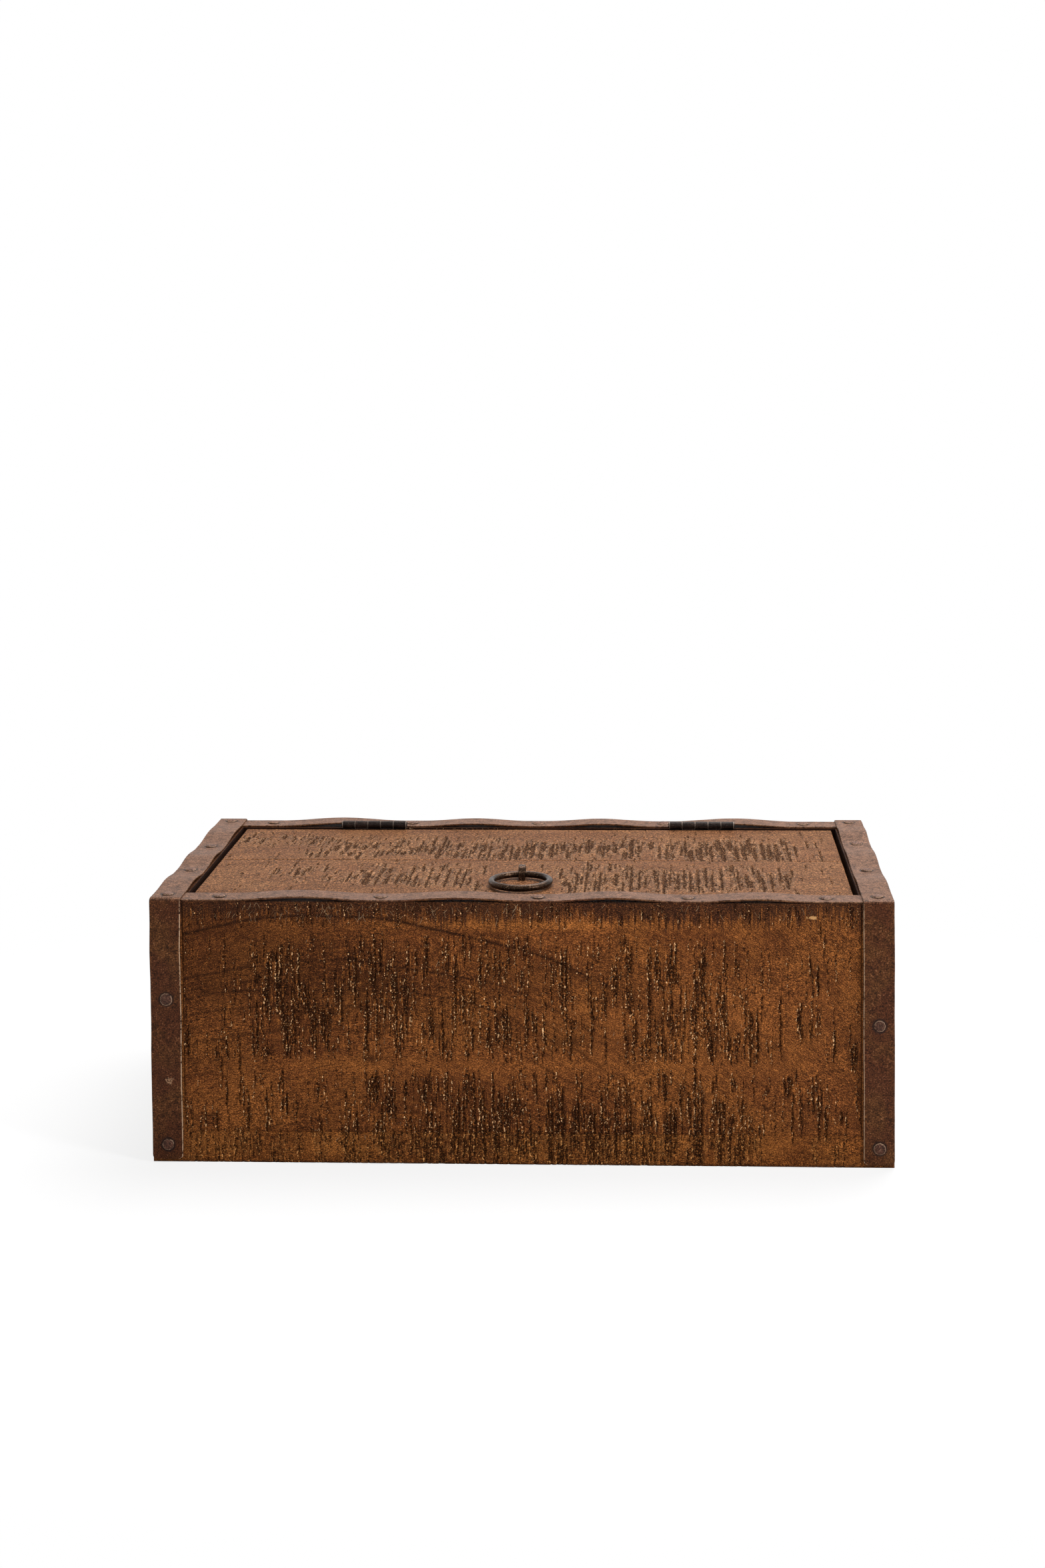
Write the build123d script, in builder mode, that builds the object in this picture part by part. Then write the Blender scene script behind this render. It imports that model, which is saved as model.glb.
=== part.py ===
"""Small iron-strapped wooden chest with a flush, two-plank lid and a ring pull.

The carcass is a rough-sawn board box: two side walls run the full depth, the front and back walls stand
between them, and all four are nailed down onto a two-plank bottom. Thin iron straps cover the rims and
the four upright corners. They are nailed at intervals and arch a little off the wood between the nails.
The lid lies flush inside the walls on two ledges, and turns on two butt hinges whose barrels stand proud
of the rear joint. A ring hangs in a staple near the lid's front edge.

Frame: +X to the chest's right, +Y to its back, +Z up, origin at the middle of the base. Millimetres.
"""

from build123d import *
import os

os.makedirs("parts", exist_ok=True)

# ---------------------------------------------------------------- driving dimensions
# carcass
chest_width = 460
chest_depth = 230
carcass_height = 164
wall_thickness = 20
bottom_thickness = 19.5
plank_gap = 0.5  # open joint between two planks
arris = 0.8  # worn roundness of the exposed long edges

# lid
lid_thickness = 18
lid_side_gap = 3
lid_swing_clearance = 0.5  # left at the front wall as the lid's lower front edge swings past
batten_width = 36
batten_thickness = 12
batten_ledge_gap = 40
batten_end_inset = 14  # from the lid's front and rear edges
ledge_width = 12
ledge_height = 12

# iron straps
strap_thickness = 1.2
side_strap_setback = 1  # from the wall's inner face
bend_radius = 1.2  # inside radius where a side strap turns down over the rim
strap_foot = 2.2  # height of the strap's lower end above the base
nail_landing = 5  # half length of the flat place that each nail draws down
rim_hump = 1.8  # how far a rim strap arches off the wood between nails
side_hump = 1.4
leg_hump = 1.2

# strap nails
strap_head_radius = 3.8
strap_head_height = 1.1
strap_head_edge = 0.5  # height of the head's rim, below its dome
strap_nail_radius = 1.1
strap_nail_length = 15
strap_nail_taper = 2
rim_nail_end_inset = 41  # from the chest's end to the outermost nail along a rim
corner_nail_inset = 9.5  # from the front or back face
upper_leg_nail_drop = {"left": 61, "right": 75}  # below the rim
lower_leg_nail_height = {"left": 11.6, "right": 12.6}  # above the base
leg_nail_inset = {"left": 9.8, "right": 9.2}  # from the chest's end

# how far each nail stands from an even spacing, from left to right or from front to back
front_rim_nail_shifts = (1, 7.5, 11, 9.5, 0)
back_rim_nail_shifts = (-1, 4.5, 0, -5.5, -1)
side_nail_shifts = {"left": (0, -1.5, -4.5, 0), "right": (0, 3, 8.5, 0)}

# nails and screws in the wood
wood_head_radius = 2.6
wood_head_height = 1.0
wood_nail_radius = 1.25
wall_nail_bite = 18  # into the front or back wall
wall_nail_base_inset = 16.5  # from the bottom plank to the lowest nail
wall_nail_rise = 30
wall_nail_rim_inset = 32
bottom_nail_bite = 22.5
bottom_nail_end_inset = 60
bottom_nail_side_inset = 43
ledge_nail_cover = 8  # wood left beyond the point
ledge_nail_inset = 33
batten_nail_cover = 5
batten_nail_inset = 14
screw_radius = 1.1
screw_head_radius = 2.3
screw_nail_clearance = 0.6  # from a hinge screw's point to the row of rim nails that it points at

# butt hinges
hinge_inset = 91  # from the lid's end to the hinge's middle
hinge_length = 45.5
knuckle_count = 5
knuckle_gap = 0.3
knuckle_radius = 2.6
knuckle_lift = 0.1  # between the barrel and the wood under it
barrel_clearance = 0.5  # from the rim strap
pin_radius = 1.3
pin_clearance = 0.06
pin_head_radius = 2.0
pin_head_height = 0.6
leaf_thickness = 1.2
leaf_gap = 0.6
leaf_margin = 4.7  # from the leaf's lower edge to the lid's underside
screw_pitch = 28

# ring and staple
ring_radius = 18.5  # to the middle of the bar
ring_bar_radius = 2.3
ring_lift = 0.3  # rest clearance over the lid
ring_front_margin = 2.5  # from the ring to the lid's front edge
staple_x = -2
staple_width = 4.4
staple_thickness = 1.8
staple_gap_radius = 3.45
staple_rounding = 0.6
clinch_length = 9

# The deepest saw gouges, laid by hand across the grain. Each is (x, far end, near end, width), with the lid's
# ends measured from the seam between its planks and the front's from the base.
gouge_depth = 0.9
lid_gouges = {
    "front": (
        (-151, -24, -49, 1.7), (-127, -47, -59, 1.7), (-115, -34, -62, 1.7), (-103, -31, -68, 2.4),
        (-90, -22, -38, 2.1), (-83, -38, -66, 1.7), (-63, -41, -76, 1.7), (-51, -22, -74, 1.7),
        (-40, -27, -76, 1.7), (-30, -59, -86, 2.0), (26, -52, -71, 2.7), (33, -34, -86, 2.1),
        (48, -31, -84, 1.7), (58, -38, -69, 2.4), (68, -20, -83, 1.7), (83, -27, -49, 2.1),
        (89, -31, -86, 1.7), (102, -27, -76, 1.7), (111, -27, -84, 2.1), (120, -38, -83, 1.7),
        (126, -24, -79, 1.7), (133, -13, -31, 2.8), (144, -56, -73, 2.7), (152, -45, -83, 2.1),
    ),
    "back": (
        (-139, 31, 6, 2.2), (-134, 41, 25, 2.6), (-127, 51, 23, 2.2), (-109, 49, 33, 2.9),
        (-87, 27, 12, 2.2), (-77, 57, 21, 1.8), (-63, 37, 5, 2.2), (-51, 25, 5, 2.2),
        (-40, 49, 17, 1.8), (-29, 41, 5, 1.8), (-10, 37, 5, 2.5), (0, 49, 6, 2.5),
        (13, 49, 6, 2.2), (20, 53, 27, 2.6), (37, 61, 19, 2.6), (56, 41, 21, 2.9),
        (67, 65, 5, 2.2), (80, 53, 33, 3.3), (104, 57, 14, 1.8), (114, 53, 5, 2.2),
        (126, 65, 25, 2.6), (134, 61, 29, 2.9), (143, 49, 5, 2.5), (160, 49, 5, 2.2),
    ),
}
front_gouges = (
    (-158, 113, 91, 3.0), (-150, 136, 110, 4.5), (-141, 90, 66, 3.0), (-121.5, 97, 76, 4.5),
    (-111.5, 110, 86, 2.5), (-91, 141, 110, 3.5), (-58, 141, 118, 2.6), (-48.5, 98, 66, 2.5),
    (-40, 132, 110, 2.8), (-20, 90, 69, 3.0), (-9.5, 101, 76, 4.0), (27, 136, 92, 4.0),
    (67, 136, 121, 4.5), (93, 136, 108, 5.5), (108, 102, 89, 5.0), (112, 129, 108, 3.5),
    (125, 108, 86, 3.0), (141.5, 99, 63, 2.5), (172, 102, 77, 4.0), (-149, 58, 43, 3.5),
    (-90.5, 58, 40, 4.0), (-56.5, 42, 22, 4.0), (-46.5, 58, 37, 3.0), (-29, 57, 26, 2.5),
    (-14, 46, 22, 5.0), (18, 44, 22, 3.5), (34.5, 43, 22, 3.0), (44, 38, 22, 4.0),
    (63.5, 55, 38, 6.0), (79, 43, 24, 4.0), (92.5, 39, 22, 6.0), (109.5, 44, 22, 5.0),
    (131, 55, 46, 3.0), (164.5, 57, 44, 5.0),
)

# ---------------------------------------------------------------- places worked out from the sizes
half_width = chest_width / 2
half_depth = chest_depth / 2
inner_half_width = half_width - wall_thickness
inner_half_depth = half_depth - wall_thickness
wall_middle_y = half_depth - wall_thickness / 2

hinge_gap = 2 * leaf_thickness + leaf_gap
pin_y = inner_half_depth - hinge_gap / 2
pin_z = carcass_height + knuckle_lift + knuckle_radius

lid_underside = carcass_height - lid_thickness
lid_half_width = inner_half_width - lid_side_gap
lid_back = inner_half_depth - hinge_gap
swing_radius = pin_y + inner_half_depth - lid_swing_clearance
lid_front = pin_y - (swing_radius**2 - (pin_z - lid_underside) ** 2) ** 0.5
lid_seam = (lid_front + lid_back) / 2
batten_underside = lid_underside - batten_thickness
batten_front = lid_front + batten_end_inset
batten_back = lid_back - batten_end_inset
batten_x = inner_half_width - ledge_width - batten_ledge_gap - batten_width / 2

side_strap_width = wall_thickness - side_strap_setback
side_strap_x = half_width - side_strap_width / 2
rim_strap_outer = half_depth - bend_radius
rim_strap_inner = pin_y + knuckle_radius + barrel_clearance

staple_y = lid_front + ring_front_margin + ring_bar_radius + 2 * ring_radius
staple_leg = staple_gap_radius + staple_thickness / 2  # from the staple's middle
ring_axis_z = carcass_height + ring_lift + ring_bar_radius

# ---------------------------------------------------------------- where the fasteners go
UP, DOWN = (0, 0, 1), (0, 0, -1)
FRONT, BACK = (0, -1, 0), (0, 1, 0)
SIDES = {"left": -1, "right": 1}
ENDS = {"front": -1, "back": 1}


def facing(x, y, z, direction):
    """A place at a point, whose own +Z looks along direction."""
    return Plane(origin=(x, y, z), z_dir=direction).location


def spaced(reach, shifts):
    """Places from -reach to reach, evenly spaced and then each moved by its own shift."""
    pitch = 2 * reach / (len(shifts) - 1)
    return [-reach + n * pitch + shift for n, shift in enumerate(shifts)]


def on_rim(side, y):
    return facing(SIDES[side] * side_strap_x, y, carcass_height, UP)


corner_nail_y = half_depth - corner_nail_inset
rim_nail_x = half_width - rim_nail_end_inset
rim_nails_x = {
    "front": spaced(rim_nail_x, front_rim_nail_shifts),
    "back": spaced(rim_nail_x, back_rim_nail_shifts),
}
rim_nails = {
    end: [facing(x, sign * corner_nail_y, carcass_height, UP) for x in rim_nails_x[end]]
    for end, sign in ENDS.items()
}
side_nails_y = {side: spaced(corner_nail_y, side_nail_shifts[side])[1:-1] for side in SIDES}
side_nails = {side: [on_rim(side, y) for y in side_nails_y[side]] for side in SIDES}
corner_nails = {side: [on_rim(side, y) for y in (-corner_nail_y, corner_nail_y)] for side in SIDES}
leg_nails_z = {
    side: (lower_leg_nail_height[side], carcass_height - upper_leg_nail_drop[side]) for side in SIDES
}
leg_nails = {
    side: [
        facing(sign * (half_width - leg_nail_inset[side]), end * half_depth, z, (0, end, 0))
        for end in ENDS.values()
        for z in leg_nails_z[side]
    ]
    for side, sign in SIDES.items()
}

lowest_wall_nail = bottom_thickness + wall_nail_base_inset
wall_nails_z = (lowest_wall_nail, lowest_wall_nail + wall_nail_rise, carcass_height - wall_nail_rim_inset)
wall_nail_length = wall_thickness + wall_nail_bite
wall_nails = {
    side: [
        facing(sign * half_width, end * wall_middle_y, z, (sign, 0, 0))
        for end in ENDS.values()
        for z in wall_nails_z
    ]
    for side, sign in SIDES.items()
}

bottom_nail_length = bottom_thickness + bottom_nail_bite
bottom_nail_x = inner_half_width - bottom_nail_end_inset
bottom_nail_y = inner_half_depth - bottom_nail_side_inset
bottom_nails = [
    facing(x, end * wall_middle_y, 0, DOWN)
    for x in (-bottom_nail_x, 0, bottom_nail_x)
    for end in ENDS.values()
] + [
    facing(sign * (half_width - wall_thickness / 2), y, 0, DOWN)
    for sign in SIDES.values()
    for y in (-bottom_nail_y, bottom_nail_y)
]

ledge_nail_length = ledge_width + wall_thickness - ledge_nail_cover
ledge_nail_y = inner_half_depth - ledge_nail_inset
ledge_nails = {
    side: [
        facing(sign * (inner_half_width - ledge_width), y, lid_underside - ledge_height / 2, (-sign, 0, 0))
        for y in (-ledge_nail_y, 0, ledge_nail_y)
    ]
    for side, sign in SIDES.items()
}

batten_nail_length = batten_thickness + lid_thickness - batten_nail_cover
batten_nails_y = (
    batten_front + batten_nail_inset,
    lid_seam - batten_nail_inset,
    lid_seam + batten_nail_inset,
    batten_back - batten_nail_inset,
)
batten_nails = {
    side: [facing(sign * batten_x, y, batten_underside, DOWN) for y in batten_nails_y]
    for side, sign in SIDES.items()
}

hinge_x = {side: sign * (lid_half_width - hinge_inset) for side, sign in SIDES.items()}
screw_z = carcass_height - lid_thickness / 2
screw_length = corner_nail_y - strap_nail_radius - screw_nail_clearance - pin_y - leaf_gap / 2
body_screws = {
    side: [facing(x + s * screw_pitch / 2, pin_y + leaf_gap / 2, screw_z, FRONT) for s in (-1, 1)]
    for side, x in hinge_x.items()
}
lid_screws = {
    side: [facing(x + s * screw_pitch / 2, pin_y - leaf_gap / 2, screw_z, BACK) for s in (-1, 1)]
    for side, x in hinge_x.items()
}


# ---------------------------------------------------------------- shared helpers
def save(builder, name):
    builder.part.label = name
    export_step(builder.part, f"parts/{name}.step")


def block(low, high):
    """A box between two corners, added to the part being built."""
    size = Vector(*high) - Vector(*low)
    with Locations(low):
        Box(size.X, size.Y, size.Z, align=(Align.MIN, Align.MIN, Align.MIN))


def round_edge(edges, y):
    """Round the long edges, among these, that lie at y."""
    fillet([edge for edge in edges.filter_by(Axis.X) if abs(edge.center().Y - y) < arris], arris)


def drill(places, radius, depth, head_radius=0, head_depth=0):
    """Round holes down from each place, with an optional wider mouth."""
    top_down = (Align.CENTER, Align.CENTER, Align.MAX)
    with Locations(*places):
        Cylinder(radius, depth, align=top_down, mode=Mode.SUBTRACT)
        if head_depth:
            Cylinder(head_radius, head_depth, align=top_down, mode=Mode.SUBTRACT)


def drill_for_strap_nails(places, iron=0):
    """Holes for strap nails, which start in the iron over the surface that the places lie on."""
    raised = [place * Pos(0, 0, iron) for place in places]
    drill(raised, strap_nail_radius, strap_nail_length + iron)


def drill_for_wood_nails(places, length):
    drill(places, wood_nail_radius, length, wood_head_radius, wood_head_height)


def saw_gouges(marks, middle, depth_axis):
    """Bites of a disc saw across a face. middle is the point of the face that the marks are measured from."""
    up_the_face = Vector(*depth_axis).cross(Vector(1, 0, 0))
    for x, far_end, near_end, width in marks:
        reach = (far_end - near_end) / 2
        disc_radius = (reach**2 + gouge_depth**2) / (2 * gouge_depth)
        on_face = Vector(*middle) + Vector(x, 0, 0) + up_the_face * (far_end + near_end) / 2
        disc_middle = on_face + Vector(*depth_axis) * (disc_radius - gouge_depth)
        with Locations(disc_middle):
            Cylinder(disc_radius, width, rotation=(0, 90, 0), mode=Mode.SUBTRACT)


def strap_nail_group(name, places, iron):
    """Low-domed nails whose heads stand on iron of this thickness."""
    rise = strap_head_height - strap_head_edge
    dome_radius = (strap_head_radius**2 + rise**2) / (2 * rise)
    with BuildPart() as nail:
        with BuildSketch(Plane.XZ):
            with BuildLine():
                Polyline(
                    (0, strap_head_height),
                    (0, -strap_nail_length),
                    (strap_nail_radius, strap_nail_taper - strap_nail_length),
                    (strap_nail_radius, 0),
                    (strap_head_radius, 0),
                    (strap_head_radius, strap_head_edge),
                )
                RadiusArc((strap_head_radius, strap_head_edge), (0, strap_head_height), -dome_radius)
            make_face()
        revolve(axis=Axis.Z)
    with BuildPart() as group:
        with Locations(*[place * Pos(0, 0, iron) for place in places]):
            add(nail.part)
    save(group, name)


def wood_nail_group(name, places, length):
    """Flat-headed nails sunk flush with the wood."""
    top_down = (Align.CENTER, Align.CENTER, Align.MAX)
    with BuildPart() as group:
        with Locations(*places):
            Cylinder(wood_nail_radius, length, align=top_down)
            Cylinder(wood_head_radius, wood_head_height, align=top_down)
    save(group, name)


def screw_group(name, places):
    """Countersunk screws that fill their leaf's holes flush."""
    top_down = (Align.CENTER, Align.CENTER, Align.MAX)
    with BuildPart() as group:
        with Locations(*places):
            Cone(screw_radius, screw_head_radius, leaf_thickness, align=top_down)
            Cylinder(screw_radius, screw_length, align=top_down)
    save(group, name)


# ---------------------------------------------------------------- carcass boards
for end, sign in ENDS.items():
    edge_y = sign * half_depth
    joint_y = sign * plank_gap / 2
    with BuildPart() as bottom_plank:
        block((-half_width, min(edge_y, joint_y), 0), (half_width, max(edge_y, joint_y), bottom_thickness))
        round_edge(bottom_plank.edges().group_by(Axis.Z)[0], edge_y)
        drill_for_wood_nails(bottom_nails, bottom_nail_length)
        for side in SIDES:
            drill_for_strap_nails(leg_nails[side])
    save(bottom_plank, f"bottom_{end}_plank")

    outer_y, inner_y = sign * half_depth, sign * inner_half_depth
    with BuildPart() as end_wall:
        block(
            (-inner_half_width, min(outer_y, inner_y), bottom_thickness),
            (inner_half_width, max(outer_y, inner_y), carcass_height),
        )
        drill_for_strap_nails(rim_nails[end])
        drill_for_wood_nails(bottom_nails, bottom_nail_length)
        for side in SIDES:
            drill_for_wood_nails(wall_nails[side], wall_nail_length)
            if end == "back":
                drill(body_screws[side], screw_radius, screw_length)
        if end == "front":
            saw_gouges(front_gouges, (0, -half_depth, 0), FRONT)
    save(end_wall, f"{end}_wall")

for side, sign in SIDES.items():
    outer_x, inner_x = sign * half_width, sign * inner_half_width
    with BuildPart() as side_wall:
        block(
            (min(outer_x, inner_x), -half_depth, bottom_thickness),
            (max(outer_x, inner_x), half_depth, carcass_height),
        )
        drill_for_strap_nails(corner_nails[side] + side_nails[side] + leg_nails[side])
        drill_for_wood_nails(wall_nails[side], wall_nail_length)
        drill_for_wood_nails(bottom_nails, bottom_nail_length)
        drill(ledge_nails[side], wood_nail_radius, ledge_nail_length)
    save(side_wall, f"{side}_wall")

    ledge_x = sign * (inner_half_width - ledge_width)
    with BuildPart() as ledge:
        block(
            (min(inner_x, ledge_x), -inner_half_depth, lid_underside - ledge_height),
            (max(inner_x, ledge_x), inner_half_depth, lid_underside),
        )
        drill_for_wood_nails(ledge_nails[side], ledge_nail_length)
    save(ledge, f"{side}_lid_ledge")

    wood_nail_group(f"{side}_wall_nails", wall_nails[side], wall_nail_length)
    wood_nail_group(f"{side}_ledge_nails", ledge_nails[side], ledge_nail_length)

wood_nail_group("bottom_nails", bottom_nails, bottom_nail_length)


# ---------------------------------------------------------------- iron straps
def landing(middle, level=0):
    """(start, end, height off the wood) of the flat place round a nail."""
    return (middle - nail_landing, middle + nail_landing, level)


def trace_strap(landings, hump, place):
    """Both faces of a nailed strap: straight on each landing, arched by hump from one to the next.

    place turns (distance along, height off the wood) into the sketch's coordinates."""
    along = (Vector(*place(1, 0)) - Vector(*place(0, 0))).normalized()
    for lift in (0, strap_thickness):
        for start, end, level in landings:
            Line(place(start, level + lift), place(end, level + lift))
        for (_, low_end, low_level), (high_end, _, high_level) in zip(landings, landings[1:]):
            arch_top = (low_level + high_level) / 2 + hump + lift
            Spline(
                place(low_end, low_level + lift),
                place((low_end + high_end) / 2, arch_top),
                place(high_end, high_level + lift),
                tangents=(along, along),
            )


def over_rim(u, v):
    return (u, carcass_height + v)


for end, sign in ENDS.items():
    landings = [(-half_width, rim_nails_x[end][0] + nail_landing, 0)]
    landings += [landing(x) for x in rim_nails_x[end][1:-1]]
    landings += [(rim_nails_x[end][-1] - nail_landing, half_width, 0)]
    rim_strap_middle = sign * (rim_strap_outer + rim_strap_inner) / 2
    with BuildPart() as rim_strap:
        with BuildSketch(Plane.XZ.offset(-rim_strap_middle)):
            with BuildLine():
                trace_strap(landings, rim_hump, over_rim)
                for x in (-half_width, half_width):
                    Line(over_rim(x, 0), over_rim(x, strap_thickness))
            make_face()
        extrude(amount=(rim_strap_outer - rim_strap_inner) / 2, both=True)
        nails_through = rim_nails[end] + corner_nails["left"] + corner_nails["right"]
        drill_for_strap_nails(nails_through, strap_thickness)
    save(rim_strap, f"{end}_rim_strap")
    strap_nail_group(f"{end}_rim_nails", rim_nails[end], strap_thickness)

for side, sign in SIDES.items():
    # A side strap lies over the rim straps' ends, and so one thickness higher there.
    crossing = (rim_strap_inner, rim_strap_outer, strap_thickness)
    top_landings = [(-crossing[1], -crossing[0], strap_thickness)]
    top_landings += [landing(y) for y in side_nails_y[side]]
    top_landings += [crossing]
    lower_z, upper_z = leg_nails_z[side]
    leg_landings = [(strap_foot, lower_z + nail_landing, 0), landing(upper_z)]
    leg_landings += [(carcass_height - nail_landing, carcass_height, 0)]
    with BuildPart() as side_strap:
        with BuildSketch(Plane.YZ.offset(sign * side_strap_x)):
            with BuildLine():
                trace_strap(top_landings, side_hump, over_rim)
                for end_sign in ENDS.values():
                    foot_inner = end_sign * half_depth
                    foot_outer = end_sign * (half_depth + strap_thickness)
                    trace_strap(leg_landings, leg_hump, lambda u, v: (end_sign * (half_depth + v), u))
                    Line((foot_inner, strap_foot), (foot_outer, strap_foot))
                    for lift in (0, strap_thickness):
                        RadiusArc(
                            (end_sign * (half_depth + lift), carcass_height),
                            (end_sign * rim_strap_outer, carcass_height + strap_thickness + lift),
                            -end_sign * (bend_radius + lift),
                        )
            make_face()
        extrude(amount=side_strap_width / 2, both=True)
        drill_for_strap_nails(corner_nails[side], 2 * strap_thickness)
        drill_for_strap_nails(side_nails[side] + leg_nails[side], strap_thickness)
    save(side_strap, f"{side}_side_strap")
    strap_nail_group(f"{side}_strap_nails", side_nails[side] + leg_nails[side], strap_thickness)
    strap_nail_group(f"{side}_corner_nails", corner_nails[side], 2 * strap_thickness)

# ---------------------------------------------------------------- lid
lid_planks = {
    "front": (lid_front, lid_seam - plank_gap / 2, lid_front),
    "back": (lid_seam + plank_gap / 2, lid_back, lid_back),
}
for end, (low_y, high_y, worn_y) in lid_planks.items():
    with BuildPart() as lid_plank:
        block((-lid_half_width, low_y, lid_underside), (lid_half_width, high_y, carcass_height))
        round_edge(lid_plank.edges().group_by(Axis.Z)[-1], worn_y)
        for side in SIDES:
            drill(batten_nails[side], wood_nail_radius, batten_nail_length)
            drill(lid_screws[side], screw_radius, screw_length)
        with BuildSketch(Plane.XY.offset(lid_underside)):
            with Locations((staple_x, staple_y - staple_leg), (staple_x, staple_y + staple_leg)):
                Rectangle(staple_width, staple_thickness)
        extrude(amount=lid_thickness, mode=Mode.SUBTRACT)
        saw_gouges(lid_gouges[end], (0, lid_seam, carcass_height), UP)
    save(lid_plank, f"lid_{end}_plank")

for side, sign in SIDES.items():
    with BuildPart() as batten:
        block(
            (sign * batten_x - batten_width / 2, batten_front, batten_underside),
            (sign * batten_x + batten_width / 2, batten_back, lid_underside),
        )
        chamfer(batten.edges().group_by(Axis.Z)[0], 2 * arris)
        drill_for_wood_nails(batten_nails[side], batten_nail_length)
    save(batten, f"{side}_lid_batten")
    wood_nail_group(f"{side}_batten_nails", batten_nails[side], batten_nail_length)


# ---------------------------------------------------------------- hinges
def knuckle_spans(first):
    """(start, end) along the hinge of every second knuckle, from number first."""
    pitch = hinge_length / knuckle_count
    spans = []
    for n in range(first, knuckle_count, 2):
        start = -hinge_length / 2 + n * pitch + (knuckle_gap / 2 if n > 0 else 0)
        end = -hinge_length / 2 + (n + 1) * pitch - (knuckle_gap / 2 if n < knuckle_count - 1 else 0)
        spans.append((start, end))
    return spans


def hinge_leaf(name, middle_x, sign, own_knuckles, other_knuckles, screws):
    """A leaf that hangs from its knuckles, on the back (sign 1) or the front side of the pin."""
    faces = sorted((pin_y + sign * leaf_gap / 2, pin_y + sign * hinge_gap / 2))
    with BuildPart() as leaf:
        block(
            (middle_x - hinge_length / 2, faces[0], lid_underside + leaf_margin),
            (middle_x + hinge_length / 2, faces[1], pin_z),
        )
        for start, end in other_knuckles:
            clear_width = 2 * (knuckle_radius + knuckle_gap)
            with Locations((middle_x + (start + end) / 2, pin_y, pin_z)):
                Box(end - start + 2 * knuckle_gap, clear_width, clear_width, mode=Mode.SUBTRACT)
        for start, end in own_knuckles:
            with Locations((middle_x + (start + end) / 2, pin_y, pin_z)):
                Cylinder(knuckle_radius, end - start, rotation=(0, 90, 0))
        with Locations((middle_x, pin_y, pin_z)):
            Cylinder(pin_radius + pin_clearance, hinge_length, rotation=(0, 90, 0), mode=Mode.SUBTRACT)
        with Locations(*screws):
            Cone(
                screw_radius,
                screw_head_radius,
                leaf_thickness,
                align=(Align.CENTER, Align.CENTER, Align.MAX),
                mode=Mode.SUBTRACT,
            )
    save(leaf, name)


body_knuckles, lid_knuckles = knuckle_spans(0), knuckle_spans(1)
for side, middle_x in hinge_x.items():
    hinge_leaf(f"{side}_hinge_body_leaf", middle_x, 1, body_knuckles, lid_knuckles, body_screws[side])
    hinge_leaf(f"{side}_hinge_lid_leaf", middle_x, -1, lid_knuckles, body_knuckles, lid_screws[side])
    screw_group(f"{side}_hinge_body_screws", body_screws[side])
    screw_group(f"{side}_hinge_lid_screws", lid_screws[side])
    with BuildPart() as pin:
        with Locations((middle_x, pin_y, pin_z)):
            Cylinder(pin_radius, hinge_length + 2 * pin_head_height, rotation=(0, 90, 0))
        for end_sign in (-1, 1):
            with Locations((middle_x + end_sign * (hinge_length + pin_head_height) / 2, pin_y, pin_z)):
                Cylinder(pin_head_radius, pin_head_height, rotation=(0, 90, 0))
    save(pin, f"{side}_hinge_pin")

# ---------------------------------------------------------------- ring and staple
arch_z = carcass_height + staple_gap_radius
arch_outer = staple_gap_radius + staple_thickness
clinch_z = lid_underside - staple_thickness
with BuildPart() as staple:
    with BuildSketch(Plane.YZ.offset(staple_x)):
        with Locations((staple_y, arch_z)):
            Circle(arch_outer)
            Circle(staple_gap_radius, mode=Mode.SUBTRACT)
            Rectangle(2 * arch_outer, arch_outer, align=(Align.CENTER, Align.MAX), mode=Mode.SUBTRACT)
        for leg_sign in (-1, 1):
            with Locations((staple_y + leg_sign * staple_leg, clinch_z)):
                Rectangle(staple_thickness, arch_z - clinch_z, align=(Align.CENTER, Align.MIN))
            with Locations((staple_y + leg_sign * (arch_outer + clinch_length / 2), clinch_z)):
                Rectangle(clinch_length, staple_thickness, align=(Align.CENTER, Align.MIN))
    extrude(amount=staple_width / 2, both=True)
    arch_edges = staple.edges().filter_by(GeomType.CIRCLE).group_by(SortBy.RADIUS)[-1]
    fillet(arch_edges, staple_rounding)
save(staple, "ring_staple")

with BuildPart() as ring:
    with Locations((staple_x, staple_y - ring_radius, ring_axis_z)):
        Torus(ring_radius, ring_bar_radius)
save(ring, "ring_pull")
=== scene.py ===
"""Looks of a small iron-strapped wooden chest: rough-sawn boards, buckled straps, hinges, ring pull."""

import math

import bpy
import numpy as np
from mathutils import Matrix, Vector

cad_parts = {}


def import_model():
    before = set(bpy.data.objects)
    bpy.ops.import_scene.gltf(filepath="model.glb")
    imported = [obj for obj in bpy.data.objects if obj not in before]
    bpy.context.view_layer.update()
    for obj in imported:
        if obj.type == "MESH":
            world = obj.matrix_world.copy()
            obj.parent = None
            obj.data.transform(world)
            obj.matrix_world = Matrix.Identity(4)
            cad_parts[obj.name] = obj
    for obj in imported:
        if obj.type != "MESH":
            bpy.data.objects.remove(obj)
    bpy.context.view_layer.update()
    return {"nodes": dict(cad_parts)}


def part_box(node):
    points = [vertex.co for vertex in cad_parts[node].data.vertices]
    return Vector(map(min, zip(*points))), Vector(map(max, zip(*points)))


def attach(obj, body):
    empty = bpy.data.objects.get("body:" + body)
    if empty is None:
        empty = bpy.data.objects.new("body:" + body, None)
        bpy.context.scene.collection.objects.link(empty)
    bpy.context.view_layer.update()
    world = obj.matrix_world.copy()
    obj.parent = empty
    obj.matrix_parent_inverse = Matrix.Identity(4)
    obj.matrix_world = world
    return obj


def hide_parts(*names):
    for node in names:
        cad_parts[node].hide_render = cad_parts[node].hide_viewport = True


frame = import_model()

MM = 0.001
X, Y, Z = range(3)
SIDES = {"left": -1, "right": 1}
ENDS = {"front": -1, "back": 1}


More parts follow.
